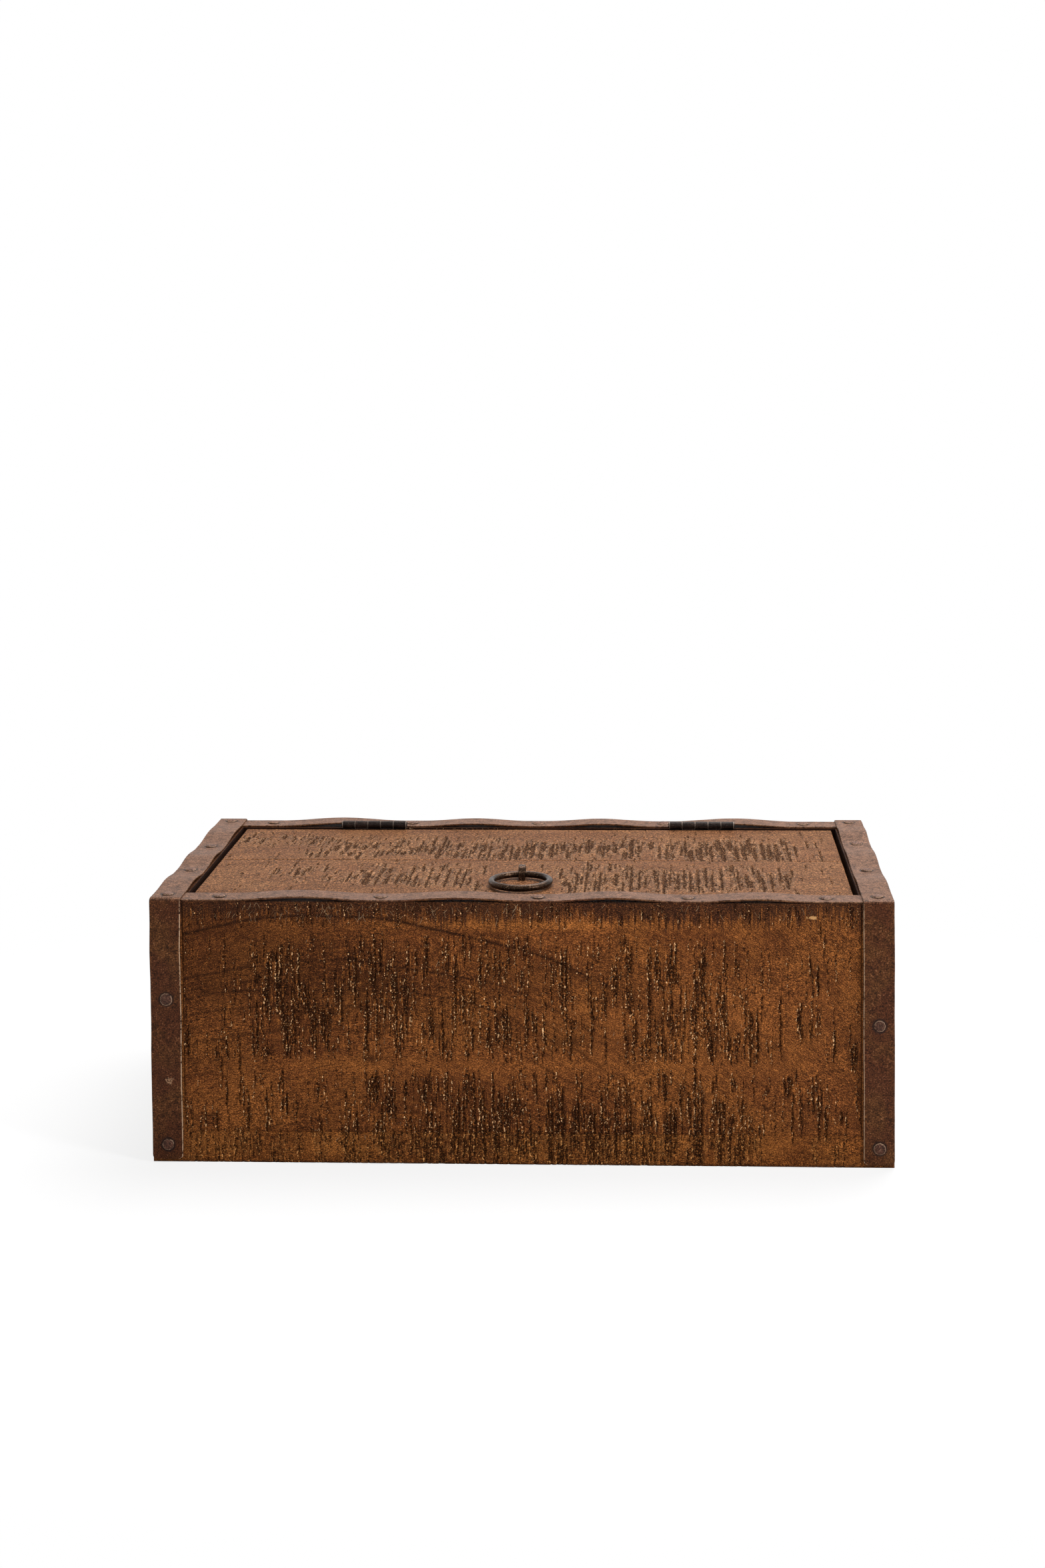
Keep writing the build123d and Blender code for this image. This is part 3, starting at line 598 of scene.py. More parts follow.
def board(name, node, axis, sign, face, cell_u, cell_v, arris=0.6):
    """A board the size of its node, with a sawn face on the side that looks along sign * axis."""
    low, high = (np.array(corner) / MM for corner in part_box(node))
    up_axis = Y if axis == Z else Z
    across_axis = X + Y + Z - axis - up_axis
    size = high - low
    us = np.linspace(low[across_axis], high[across_axis], int(size[across_axis] / cell_u) + 1)
    us = us[:: u_directions[axis, sign]]
    vs = np.linspace(low[up_axis], high[up_axis], int(size[up_axis] / cell_v) + 1)
    nu, nv = len(us), len(vs)
    grid_u, grid_v = np.meshgrid(us, vs, indexing="ij")
    depth = face.at(grid_u, grid_v, face.depth)
    from_ends = np.minimum(grid_u - grid_u.min(), grid_u.max() - grid_u)
    from_edges = np.minimum(grid_v - grid_v.min(), grid_v.max() - grid_v)
    edge_gap = np.minimum(from_ends, from_edges)
    depth = depth + arris * np.clip(1 - edge_gap / (1.2 * arris), 0, 1) ** 2
    outer = high[axis] if sign > 0 else low[axis]
    inner = low[axis] if sign > 0 else high[axis]
    points = np.zeros((nu * nv + 4, 3))
    points[:-4, across_axis] = grid_u.ravel()
    points[:-4, up_axis] = grid_v.ravel()
    points[:-4, axis] = (outer - sign * depth).ravel()
    for n, (i, j) in enumerate(((0, 0), (-1, 0), (-1, -1), (0, -1))):
        points[nu * nv + n, across_axis] = us[i]
        points[nu * nv + n, up_axis] = vs[j]
        points[nu * nv + n, axis] = inner
    index = np.arange(nu * nv).reshape(nu, nv)
    corners = [index[:-1, :-1], index[1:, :-1], index[1:, 1:], index[:-1, 1:]]
    quads = np.stack(corners, -1).reshape(-1, 4).tolist()
    b00, b10, b11, b01 = range(nu * nv, nu * nv + 4)
    sides = [
        index[::-1, 0].tolist() + [b00, b10],
        [b10, b11] + index[-1, ::-1].tolist(),
        index[:, -1].tolist() + [b11, b01],
        index[0, :].tolist() + [b01, b00],
        [b00, b01, b11, b10],
    ]
    rest = np.zeros(4)
    attributes = {
        label: np.concatenate([face.at(grid_u, grid_v, layer).ravel(), rest])
        for label, layer in (("gouge", face.gouge), ("fleck", face.fleck), ("rough", face.rough))
    }
    mesh = new_mesh(name, points * MM, quads + sides, True, attributes)
    flat = np.ones(len(mesh.polygons), bool)
    flat[len(quads):] = False
    mesh.polygons.foreach_set("use_smooth", flat)
    mesh.set_sharp_from_angle(angle=math.radians(board_crease))
    return mesh


# The front's gouges that stand out: (place along the board, top, bottom, width).
front_gouges = (
    (-208, 86, 66, 3), (-190, 74, 66, 1), (-183, 79, 66, 1.5), (-163.5, 102, 69, 2),
    (-158, 113, 91, 3), (-156.5, 132, 110, 2.4), (-150, 136, 90, 4.5), (-146, 100, 68, 3),
    (-141, 118, 66, 3), (-137.5, 135, 100, 1.5), (-133, 112, 92, 4), (-128.5, 104, 68, 4),
    (-121.5, 97, 76, 5), (-120, 80, 70, 2), (-111.5, 110, 86, 2.5), (-102.5, 136, 98, 2),
    (-95, 102, 67, 2.2), (-91, 141, 108, 3.5), (-86.5, 135, 119, 2), (-88.5, 96, 75, 1.5),
    (-77.5, 120, 67, 1.8), (-72, 108, 95, 1.5), (-64.5, 134, 118, 1.3), (-58, 141, 118, 2.6),
    (-55, 98, 79, 2), (-48.5, 98, 66, 2.5), (-40, 132, 90, 2.8), (-35, 112, 88, 2.4),
    (-32.5, 73, 65, 2), (-29.5, 86, 72, 1.5), (-24.5, 131, 110, 2), (-20, 90, 69, 3),
    (-9.5, 101, 76, 4), (4, 96, 80, 1.5), (27, 136, 92, 4), (31, 92, 69, 2), (44, 110, 69, 1.6),
    (57.5, 126, 110, 1.5), (67, 136, 121, 4.5), (67.5, 112, 101, 4), (71.5, 92, 73, 2.5),
    (79, 127, 80, 2.4), (88, 77, 66, 4), (93, 136, 108, 5.5), (108, 102, 89, 5),
    (112, 129, 108, 3.5), (117, 81, 66, 3), (125, 108, 86, 3), (128, 84, 67, 2.5),
    (141.5, 99, 63, 2.5), (146, 97, 65, 2.6), (160, 107, 67, 1.8), (172, 102, 77, 4),
    (179, 128, 119, 2), (183.5, 126, 108, 1.6), (184.5, 152, 143, 1.5), (179, 92, 79, 2.5),
    (193, 86, 69, 2.5), (205, 77, 60, 4), (-190, 32, 19, 2), (-186.5, 66, 46, 1.2),
    (-183.5, 54, 36, 1.2), (-175, 76, 38, 1.2), (-170.5, 46, 20, 1.8), (-158.5, 46, 18, 1.8),
    (-149, 58, 43, 3.5), (-147, 44, 29, 4), (-126, 52, 40, 1.2), (-124.5, 26, 18, 1.6),
    (-102, 32, 18, 2.5), (-93.5, 55, 41, 2), (-90.5, 58, 37, 4), (-88, 40, 4, 4.5),
    (-78, 47, 27, 1.2), (-72, 52, 36, 1.1), (-69, 34, 18, 1.4), (-59.5, 52, 36, 2.5),
    (-56.5, 42, 18, 4), (-46.5, 58, 37, 3), (-40.5, 48, 6, 4), (-36, 42, 21, 2), (-29, 57, 26, 2.5),
    (-24, 45, 4, 4), (-17.5, 58, 41, 2), (-14, 46, 8, 5), (-9.5, 43, 18, 3), (-4.5, 42, 30, 3),
    (9.5, 55, 41, 1.5), (18, 44, 5, 3.5), (25.5, 50, 18, 2), (34.5, 43, 20, 3), (44, 38, 2, 4),
    (50, 45, 24, 1.5), (58.5, 44, 4, 2.6), (63.5, 55, 38, 6), (66.5, 36, 1, 4), (79, 55, 49, 3.5),
    (79, 43, 24, 4), (89, 58, 38, 2.5), (92.5, 39, 5, 6), (99, 52, 30, 1.5), (107.3, 68, 20, 1.1),
    (109.5, 44, 4, 5), (118.5, 55, 46, 1.6), (122.5, 42, 30, 5), (123, 31, 2, 1.5), (131, 55, 49, 3),
    (135.5, 43, 26, 3), (164.5, 57, 44, 5), (167.5, 46, 15, 1.3), (180, 51, 34, 2),
    (183, 45, 15, 1.6), (187.5, 35, 16, 1.5), (197.5, 35, 27, 2),
)
# Torn patches: (place along the board, height, half length, half height).
front_patches = (
    (-163, 117, 5, 4), (-154, 130, 5, 5), (-149, 112, 7, 5), (-140, 106, 5, 6), (-141, 97, 6, 4),
    (-131, 96, 8, 5), (-123, 89, 7, 6), (-128, 83, 4, 5), (-118, 94, 4, 4), (-158, 99, 4, 5),
    (-158, 70, 5, 6), (-61, 54, 6, 3), (27, 112, 3, 5), (31, 90, 4, 4), (67, 124, 3, 4),
    (70, 104, 4, 5), (93, 118, 5, 8), (108, 96, 5, 6),
)
saw_rows = ((66, 142), (1, 58))  # the heights of the two rows of saw marks

front_face = SawnFace((-231, 231), (-1, 165), seed=4)
for along, top, bottom, width in front_gouges:
    front_face.tear(along, top, bottom, width, 0.9)
for low, high in saw_rows:
    front_face.scatter((-210, 210, low, high), 0.8, (8, 26), (0.5, 1.0), 0.4, 0.9, 0.5)
    front_face.scatter((-110, 145, low, high), 1.1, (6, 26), (0.5, 1.4), 0.6, 1.0, 0.7)
front_face.scatter((-168, -136, 84, 140), 1.0, (6, 22), (0.6, 1.4), 0.6, 0.8, 0.9)
front_face.scatter((-150, -112, 67, 112), 1.0, (6, 26), (0.6, 1.5), 0.7, 0.85, 0.9)
front_face.scatter((60, 150, 66, 112), 1.4, (8, 24), (0.7, 1.6), 0.6, 1.0, 0.6)
front_face.scatter((-60, 145, 0, 30), 2.2, (12, 28), (0.6, 1.6), 0.6, 1.0, 0.6)
front_face.scatter((-205, -60, 0, 20), 3, (10, 20), (0.5, 1.2), 0.4, 0.75, 0.4)
front_face.scatter((-208, 208, 150, 163), 3, (4, 12), (0.6, 1.6), 0.5, 0.7, 0.9)
for patch in front_patches:
    front_face.blotch(*patch, 0.6, 0.85)
front_face.finish()

back_face = SawnFace((-231, 231), (-1, 165), seed=15)
for low, high in saw_rows:
    back_face.scatter((-205, 205, low, high), 1.6, (8, 28), (0.6, 1.8), 0.5, 0.8, 0.5)
back_face.scatter((-150, -60, 70, 138), 4, (8, 26), (0.8, 2.4), 0.7, 0.9, 0.6)
back_face.scatter((20, 110, 5, 58), 4, (8, 26), (0.8, 2.4), 0.7, 0.9, 0.6)
back_face.finish()

side_faces = {}
for side, seed in (("left", 23), ("right", 29)):
    side_faces[side] = SawnFace((-116, 116), (-1, 165), seed)
    for low, high in saw_rows:
        side_faces[side].scatter((-112, 112, low, high), 1.8, (8, 28), (0.6, 2.0), 0.5, 0.85, 0.5)
    side_faces[side].scatter((-60, 20, 68, 136), 4, (8, 24), (0.8, 2.4), 0.7, 0.9, 0.6)
    side_faces[side].finish()

# The lid's gouges: (place along the board, far end, near end, width), from the seam.
lid_gouges = (
    (-198, 79, 65, 1.9), (-201, 65, 49, 2.6), (-189, 65, 43, 1.5), (-176, 73, 61, 2.6),
    (-168, 65, 51, 1.5), (-154, 57, 45, 2.2), (-149, 21, 6, 1.8), (-144, 29, 6, 1.4),
    (-139, 31, 6, 2.2), (-134, 41, 25, 2.9), (-129, 25, 14, 1.8), (-127, 51, 23, 2.2),
    (-123, 21, 10, 2.2), (-117, 21, 0, 2.2), (-116, 41, 29, 2.9), (-123, 45, 33, 1.8),
    (-142, 65, 57, 1.9), (-136, 61, 49, 1.8), (-109, 49, 33, 2.9), (-105, 29, 6, 1.4),
    (-102, 29, 10, 1.4), (-98, 29, 14, 1.4), (-96, 33, 21, 2.2), (-91, 29, 14, 1.8),
    (-87, 25, 14, 2.2), (-92, 65, 35, 1.1), (-94, 53, 33, 1.1), (-87, 55, 41, 1.1),
    (-82, 29, 14, 1.4), (-79, 37, 14, 1.5), (-77, 57, 21, 1.8), (-73, 41, 21, 1.5),
    (-69, 33, 15, 2.2), (-69, 69, 39, 1.5), (-63, 37, 2, 2.2), (-62, 65, 33, 1.5),
    (-59, 57, 37, 1.1), (-51, 25, 4, 2.2), (-51, 49, 29, 1.1), (-46, 33, 2, 1.4), (-42, 29, 6, 1.1),
    (-40, 49, 17, 1.8), (-35, 33, 2, 1.4), (-33, 49, 25, 1.5), (-29, 41, -2, 1.8), (-25, 17, 2, 1.4),
    (-20, 33, 2, 2.2), (-18, 45, 25, 1.5), (-14, 41, 0, 1.8), (-10, 37, 2, 2.5), (-5, 49, 12, 2.2),
    (0, 49, 6, 2.5), (5, 25, 6, 1.4), (7, 53, 25, 2.6), (7, 17, 2, 1.4), (13, 49, 6, 2.2),
    (16, 49, 14, 1.5), (20, 53, 27, 2.6), (24, 37, 4, 1.8), (28, 45, 29, 1.5), (32, 45, 21, 1.5),
    (37, 61, 19, 2.6), (40, 57, 33, 1.8), (44, 41, 21, 1.5), (48, 41, 8, 1.8), (51, 45, 25, 2.2),
    (56, 41, 21, 2.9), (61, 61, 37, 1.8), (63, 25, 4, 2.2), (67, 65, 4, 2.2), (72, 41, 10, 1.5),
    (80, 53, 33, 3.3), (86, 45, 6, 1.8), (91, 45, 2, 1.8), (95, 49, 29, 1.5), (95, 17, 2, 1.8),
    (101, 45, 14, 1.8), (104, 57, 14, 1.8), (107, 29, -2, 2.2), (111, 33, 14, 1.4),
    (114, 53, -2, 2.2), (118, 53, 14, 1.8), (121, 41, -3, 2.2), (126, 65, 25, 2.6),
    (129, 41, -2, 2.2), (134, 61, 29, 2.9), (138, 41, -2, 2.9), (143, 49, 2, 2.5),
    (147, 65, 21, 2.6), (150, 41, -2, 2.2), (156, 53, 2, 2.2), (160, 49, 2, 2.2), (165, 49, -2, 2.2),
    (170, 65, 41, 1.5), (173, 53, 14, 1.8), (173, 21, -2, 1.4), (178, 45, 12, 1.5),
    (187, 57, 37, 1.1), (193, 53, 37, 0.7), (194, 29, -2, 0.7), (-166, -25, -52, 1),
    (-164, -27, -41, 1), (-155, -9, -41, 0.7), (-151, -24, -49, 1.7), (-146, -27, -45, 1.4),
    (-144, -20, -34, 1.1), (-133, -20, -34, 1.8), (-127, -47, -59, 1.7), (-125, -31, -41, 1.4),
    (-115, -34, -62, 1.7), (-110, -41, -52, 1), (-109, -27, -38, 2.1), (-103, -31, -68, 2.4),
    (-96, -38, -68, 1.4), (-95, -11, -41, 1.1), (-89, -41, -66, 1.4), (-90, -22, -38, 2.1),
    (-83, -38, -66, 1.7), (-78, -45, -59, 1.4), (-75, -20, -69, 1.4), (-71, -45, -73, 1.7),
    (-69, -13, -31, 1.4), (-63, -41, -76, 1.7), (-63, -24, -41, 1.4), (-57, -38, -69, 1.4),
    (-56, -13, -31, 1.4), (-51, -22, -74, 1.7), (-45, -45, -73, 1.4), (-44, -24, -41, 1),
    (-40, -27, -76, 1.7), (-36, -49, -69, 1.4), (-30, -59, -86, 2), (-28, -16, -41, 1.1),
    (22, -24, -52, 1.7), (26, -52, -71, 2.7), (29, -59, -88, 1.4), (33, -34, -91, 2.1),
    (36, -41, -66, 1), (39, -2, -88, 1.4), (41, -13, -31, 1.4), (45, -52, -83, 1.4),
    (48, -31, -88, 1.7), (51, -45, -66, 1.4), (53, -9, -31, 1.8), (58, -38, -69, 2.4),
    (63, -59, -86, 1.7), (65, -31, -52, 1.4), (68, -20, -83, 1.7), (73, -34, -79, 1.4),
    (77, -45, -73, 1.4), (83, -27, -49, 2.1), (85, -41, -76, 1.4), (89, -31, -93, 1.7),
    (93, -34, -69, 1.4), (98, -38, -79, 1.7), (102, -27, -76, 1.7), (106, -31, -83, 1.7),
    (111, -27, -86, 2.1), (116, -20, -73, 1.7), (120, -38, -83, 1.7), (126, -24, -79, 1.7),
    (133, -13, -31, 2.8), (137, -27, -79, 1.7), (142, -38, -73, 1.7), (144, -56, -73, 2.7),
    (147, -13, -38, 1.8), (150, -27, -59, 1.7), (152, -45, -83, 2.1), (158, -38, -83, 1.7),
    (164, -20, -59, 1.7), (168, -41, -76, 2.1), (172, -24, -45, 1.4),
)
lid_patches = (
    (-96, 41, 9, 3.5), (-84, 34, 7, 3), (-70, 47, 6, 4), (-52, 40, 7, 4), (-30, 30, 8, 3),
    (8, 36, 6, 4), (60, 44, 8, 4), (118, 38, 9, 5), (150, 46, 8, 4), (-60, -50, 6, 4),
    (-40, -62, 5, 4), (48, -58, 6, 4), (90, -60, 7, 4), (140, -48, 8, 5),
)
lid_face = SawnFace((-208, 208), (-95, 94), seed=8)
for along, far, near, width in lid_gouges:
    lid_face.tear(along, far, near, width * 1.35, 0.8)
    lid_face.stroke(along, far, near, width * 0.95, 0.85, 1.1, 0.3)
for region, density in (
    ((-160, -60, 8, 70), 1.3), ((-60, 175, 2, 66), 1.7), ((-110, -30, -72, -12), 1.5),
    ((20, 172, -84, -14), 1.9), ((-200, -140, 36, 84), 1.4), ((-150, -110, -62, -12), 0.8),
    ((-205, 205, -90, 90), 0.3),
):
    lid_face.scatter(region, density, (4, 16), (0.6, 1.5), 0.5, 0.9, 0.6)
for patch in lid_patches:
    lid_face.blotch(*patch, 0.5, 0.75)
lid_face.finish(comb=0.1, wave=0.3)

for end, face, material in (("front", front_face, warm_front), ("back", back_face, warm_back)):
    mesh = board(f"{end}_board", f"{end}_wall", Y, ENDS[end], face, cell_u=0.5, cell_v=1.55)
    piece(f"{end}_board", mesh, "chest", [f"{end}_wall"], material)
    mesh = board(f"{end}_bottom_board", f"bottom_{end}_plank", Y, ENDS[end], face, cell_u=0.6, cell_v=1.0)
    piece(f"{end}_bottom_board", mesh, "chest", [f"bottom_{end}_plank"], base_wood)
    mesh = board(f"{end}_lid_board", f"lid_{end}_plank", Z, 1, lid_face, cell_u=0.5, cell_v=0.85)
    piece(f"{end}_lid_board", mesh, "lid", [f"lid_{end}_plank"], lid_wood)
for side, sign in SIDES.items():
    mesh = board(f"{side}_board", f"{side}_wall", X, sign, side_faces[side], cell_u=0.7, cell_v=1.5)
    piece(f"{side}_board", mesh, "chest", [f"{side}_wall"], side_wood)


# ---------------------------------------------------------------- geometry trees
class Tree(Graph):
    """A geometry tree with named inputs."""

    def __init__(self, name, inputs):
        tree = bpy.data.node_groups.new(name, "GeometryNodeTree")
        tree.interface.new_socket("Geometry", in_out="INPUT", socket_type="NodeSocketGeometry")
        for label, kind in inputs.items():
            tree.interface.new_socket(label, in_out="INPUT", socket_type=f"NodeSocket{kind}")
        tree.interface.new_socket("Geometry", in_out="OUTPUT", socket_type="NodeSocketGeometry")
        super().__init__(tree)
        group_input = tree.nodes.new("NodeGroupInput")
        self.inputs = {s.name: Field(self, s) for s in group_input.outputs if s.name}

    def random_turn(self, low, high, seed):
        """A turn for each point, its three angles random between these."""
        values = {0: low, 1: high, "Seed": seed}
        angles = self.node("FunctionNodeRandomValue", {"data_type": "FLOAT_VECTOR"}, values)
        return self.node("FunctionNodeEulerToRotation", values={0: angles})

    def random_size(self, low, high, seed):
        values = {2: low, 3: high, "Seed": seed}
        return self.node("FunctionNodeRandomValue", {"data_type": "FLOAT"}, values, output=1)

    def set_out(self, points, instance, turn, size):
        """One instance on each point, made real."""
        values = {"Points": points, "Instance": instance, "Rotation": turn, "Scale": size}
        placed = self.node("GeometryNodeInstanceOnPoints", values=values)
        return self.node("GeometryNodeRealizeInstances", values={0: placed})

    def swirl(self, fineness, reach):
        """A random push that changes from place to place, by up to half of reach either way."""
        place = self.node("GeometryNodeInputPosition")
        values = {"Vector": place, "Scale": fineness, "Detail": 1.0}
        color = self.node("ShaderNodeTexNoise", values=values, output="Color")
        centred = self.vector_math("SUBTRACT", color, (0.5, 0.5, 0.5))
        return self.vector_math("MULTIPLY", centred, reach)

    def end(self, geometry, material):
        whole = self.node("GeometryNodeRealizeInstances", values={0: geometry})
        dressed = self.node("GeometryNodeSetMaterial", values={0: whole, "Material": material})
        self.node("NodeGroupOutput", values={0: dressed})

    def grow(self, name, mesh, **values):
        """The tree's result on a mesh, as a plain mesh."""
        start = add_object(f"{name}_start", mesh)
        modifier = start.modifiers.new("grow", "NODES")
        modifier.node_group = self.tree
        for item in self.tree.interface.items_tree:
            if item.in_out == "INPUT" and item.name in values:
                modifier[item.identifier] = values[item.name]
        bpy.context.view_layer.update()
        evaluated = start.evaluated_get(bpy.context.evaluated_depsgraph_get())
        grown = bpy.data.meshes.new_from_object(evaluated)
        start.modifiers.remove(modifier)
        bpy.data.objects.remove(start)
        grown.name = name
        return grown


# ---------------------------------------------------------------- iron straps
strap_thickness = 1.2
strap_crease = 38  # degrees
strap_step = 1.4  # between the rings of a strap's mesh
bevel, under_bevel = 0.35, 0.1  # on a strap's upper and lower arrises
bare_wear, plain_wear = 0.85, 0.12  # of a strap's bright edge and of the other one


def strap_tree():
    """Bends a flat strip along a path: its X runs along the path, its Y across and its Z off the wood."""
    inputs = {
        "Path": "Object", "Across": "Vector", "Wander": "Float",
        "Dent": "Float", "Seed": "Float", "Finish": "Material",
    }
    tree = Tree("bent_strap", inputs)
    given = tree.inputs
    s, t, n = tree.parts(tree.node("GeometryNodeInputPosition"))
    path = tree.node("GeometryNodeObjectInfo", values={"Object": given["Path"]}, output="Geometry")
    by_length, at = {"mode": "LENGTH", "use_all_curves": True}, {"Curves": path, "Length": s}
    sample = tree.node("GeometryNodeSampleCurve", by_length, at, output="Position")
    tangent = Field(tree, sample.socket.node.outputs["Tangent"])
    out = tree.vector_math("NORMALIZE", tree.vector_math("CROSS_PRODUCT", tangent, given["Across"]))
    flank = t.math("SIGN")
    waves = tree.vector(s * 24, flank * 3 + given["Seed"], given["Seed"])
    wobble = tree.noise(waves, 2.0, 0.55) - 0.5
    dents = tree.noise(tree.vector(s * 70, t * 60, given["Seed"] + 7), 2.0) - 0.5
    sideways = t + wobble * flank * given["Wander"]
    off = n + dents * given["Dent"]
    beside = tree.vector_math("ADD", sample, given["Across"].scaled(sideways))
    place = tree.vector_math("ADD", beside, out.scaled(off))
    bent = tree.node("GeometryNodeSetPosition", values={0: given["Geometry"], "Position": place})
    tree.end(bent, given["Finish"])
    return tree


def tube_faces(rings, ring, closed=False):
    """Faces between rings of points that follow each other, with ring points in each."""
    faces = []
    for r in range(rings if closed else rings - 1):
        low, high = r * ring, (r + 1) % rings * ring
        for k in range(ring):
            after = (k + 1) % ring
            faces.append((low + k, low + after, high + after, high + k))
    return faces


def strip(name, length, width, bright, bare, rounding):
    """A flat iron strip with worn arrises and rounded corners. On the side bright, -1 or 1, its cut
    edge is bare iron for a length bare from each end."""
    half, thick = width / 2, strap_thickness
    flat = half - bevel
    across = [-flat, *np.linspace(-flat + 0.25, flat - 0.25, 9), flat]
    section = [(y, thick) for y in across]
    section += [(half, thick - bevel), (half, under_bevel), (half - under_bevel, 0.0)]
    section += [(-half + under_bevel, 0.0), (-half, under_bevel), (-half, thick - bevel)]
    arrises = {1: (10, 11), -1: (0, 16)}  # the section's points on its two upper arrises
    edge = [0.0] * len(section)
    for side, places in arrises.items():
        for place in places:
            edge[place] = bare_wear if side == bright else plain_wear
    stations = np.linspace(0, length, int(length / strap_step) + 1)
    ring = len(section)
    points, edges = [], []
    for x in stations:
        from_end = min(x, length - x)
        past = max(rounding - from_end, 0)
        narrow = 1 - (rounding - math.sqrt(rounding**2 - past**2)) / half
        points += [(x, y * narrow, z) for y, z in section]
        worn = min(max((bare - from_end) / 8, 0.15), 1)
        edges += [value * worn for value in edge]
    faces = tube_faces(len(stations), ring)
    faces.append(tuple(range(ring))[::-1])
    faces.append(tuple(range(len(points) - ring, len(points))))
    mesh = new_mesh(name, np.array(points) * MM, faces, True, {"edge": edges})
    mesh.set_sharp_from_angle(angle=math.radians(strap_crease))
    return mesh


def arch(u, landings, hump):
    """Height off the wood at u: flat on each landing (start, end, level), and arched between them."""
    for start, end, level in landings:
        if start <= u <= end:
            return level
    for n, ((_, start, low), (end, _, high)) in enumerate(zip(landings, landings[1:])):
        if start < u < end:
            t = (u - start) / (end - start)
            rise = low + (high - low) * t * t * (3 - 2 * t)
            return rise + hump[n % len(hump)] * math.sin(math.pi * t) ** 2
    return 0.0


def path_object(name, points):
    """A path through the points, and its length."""
    curve = bpy.data.curves.new(name, "CURVE")
    curve.dimensions = "3D"
    spline = curve.splines.new("POLY")
    spline.points.add(len(points) - 1)
    for point, place in zip(spline.points, points):
        point.co = (*(Vector(place) * MM), 1)
    length = sum((Vector(b) - Vector(a)).length for a, b in zip(points, points[1:]))
    return add_object(name, curve), length


bend_strap = strap_tree()


def strap(name, points, width, across, wander, dent, seed, nodes, bright=0, rounding=0):
    """A strap bent along points, whose edges wander and whose faces dent by about these millimetres."""
    path, length = path_object(f"{name}_path", points)
    flat = strip(name, length, width, bright, rim_z, rounding)
    mesh = bend_strap.grow(
        name, flat, Path=path, Across=across, Wander=wander * MM, Dent=dent * MM,
        Seed=float(seed), Finish=strap_iron,
    )
    curve = path.data
    bpy.data.objects.remove(path)
    bpy.data.curves.remove(curve)
    piece(name, mesh, "chest", nodes)


def node_box(node):
    """A CAD node's low and high corners, in millimetres."""
    low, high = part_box(node)
    return low / MM, high / MM


wall_low, wall_high = node_box("left_wall")
rim_z = wall_high.z
half_width = -wall_low.x
half_depth = wall_high.y
nail_landing = 5  # a strap lies flat on the wood for this length on each side of a nail
bend_radius = 1.2
foot_rounding = 2.4
rim_steps, leg_steps, top_steps, bend_steps = 330, 110, 150, 7  # points along the straps' paths

rim_nails_x = {"front": (-188, -87, 11, 104, 189), "back": (-190, -90, 0, 89, 188)}
rim_humps = {"front": (2.1, 1.7, 2.0, 1.6), "back": (2.2, 1.8, 1.8, 2.2)}
side_nails_y = {"left": (-36.7, 30.7), "right": (-32.2, 43.7)}
side_humps = {"left": (1.5, 1.7, 1.3), "right": (1.4, 1.6, 1.4)}
leg_humps = (0.9, 1.1)
leg_nails_z = {"left": (11.6, 103), "right": (12.6, 89)}
leg_nails_inset = {"left": 9.8, "right": 9.2}
corner_inset = 9.5  # from a wall's outer face to its row of nails
corner_nail_y = half_depth - corner_inset
up = (0, 0, 1)

# Each set of nails: the places of their heads, and the directions that they look.
on_one, on_two = rim_z + strap_thickness, rim_z + 2 * strap_thickness
nail_places = {}
for end, sign in ENDS.items():
    nail_places[f"{end}_rim_nails"] = [((x, sign * corner_nail_y, on_one), up) for x in rim_nails_x[end]]
for side, sign in SIDES.items():
    x = sign * (half_width - corner_inset)
    leg_x = sign * (half_width - leg_nails_inset[side])
    leg_y = half_depth + strap_thickness
    nail_places[f"{side}_corner_nails"] = [((x, end * corner_nail_y, on_two), up) for end in ENDS.values()]
    on_top = [((x, y, on_one), up) for y in side_nails_y[side]]
    on_legs = [((leg_x, end * leg_y, z), (0, end, 0)) for end in ENDS.values() for z in leg_nails_z[side]]
    nail_places[f"{side}_strap_nails"] = on_top + on_legs
strap_iron = iron(
    "strap_iron",
    base=(0.052, 0.016, 0.006), patch=(0.068, 0.025, 0.008), top=(0.140, 0.070, 0.042),
    pale=(0.28, 0.16, 0.09), specular=0.07,
    nailed=[place for places in nail_places.values() for place, _ in places],
    worn=(((-218, -116.5, 52), 2.6),),
)

for end, sign in ENDS.items():
    low, high = node_box(f"{end}_rim_strap")
    first, *others, last = rim_nails_x[end]
    landings = [(-half_width, first + nail_landing, 0)]
    landings += [(x - nail_landing, x + nail_landing, 0) for x in others]
    landings += [(last - nail_landing, half_width, 0)]
    middle = (low.y + high.y) / 2
    xs = np.linspace(-half_width, half_width, rim_steps)
    points = [(x, middle, rim_z + arch(x, landings, rim_humps[end])) for x in xs]
    strap(
        f"{end}_rim_iron", points, high.y - low.y, across=(0, 1, 0), wander=1.0, dent=0.35,
        seed=3 + sign, nodes=[f"{end}_rim_strap"],
    )


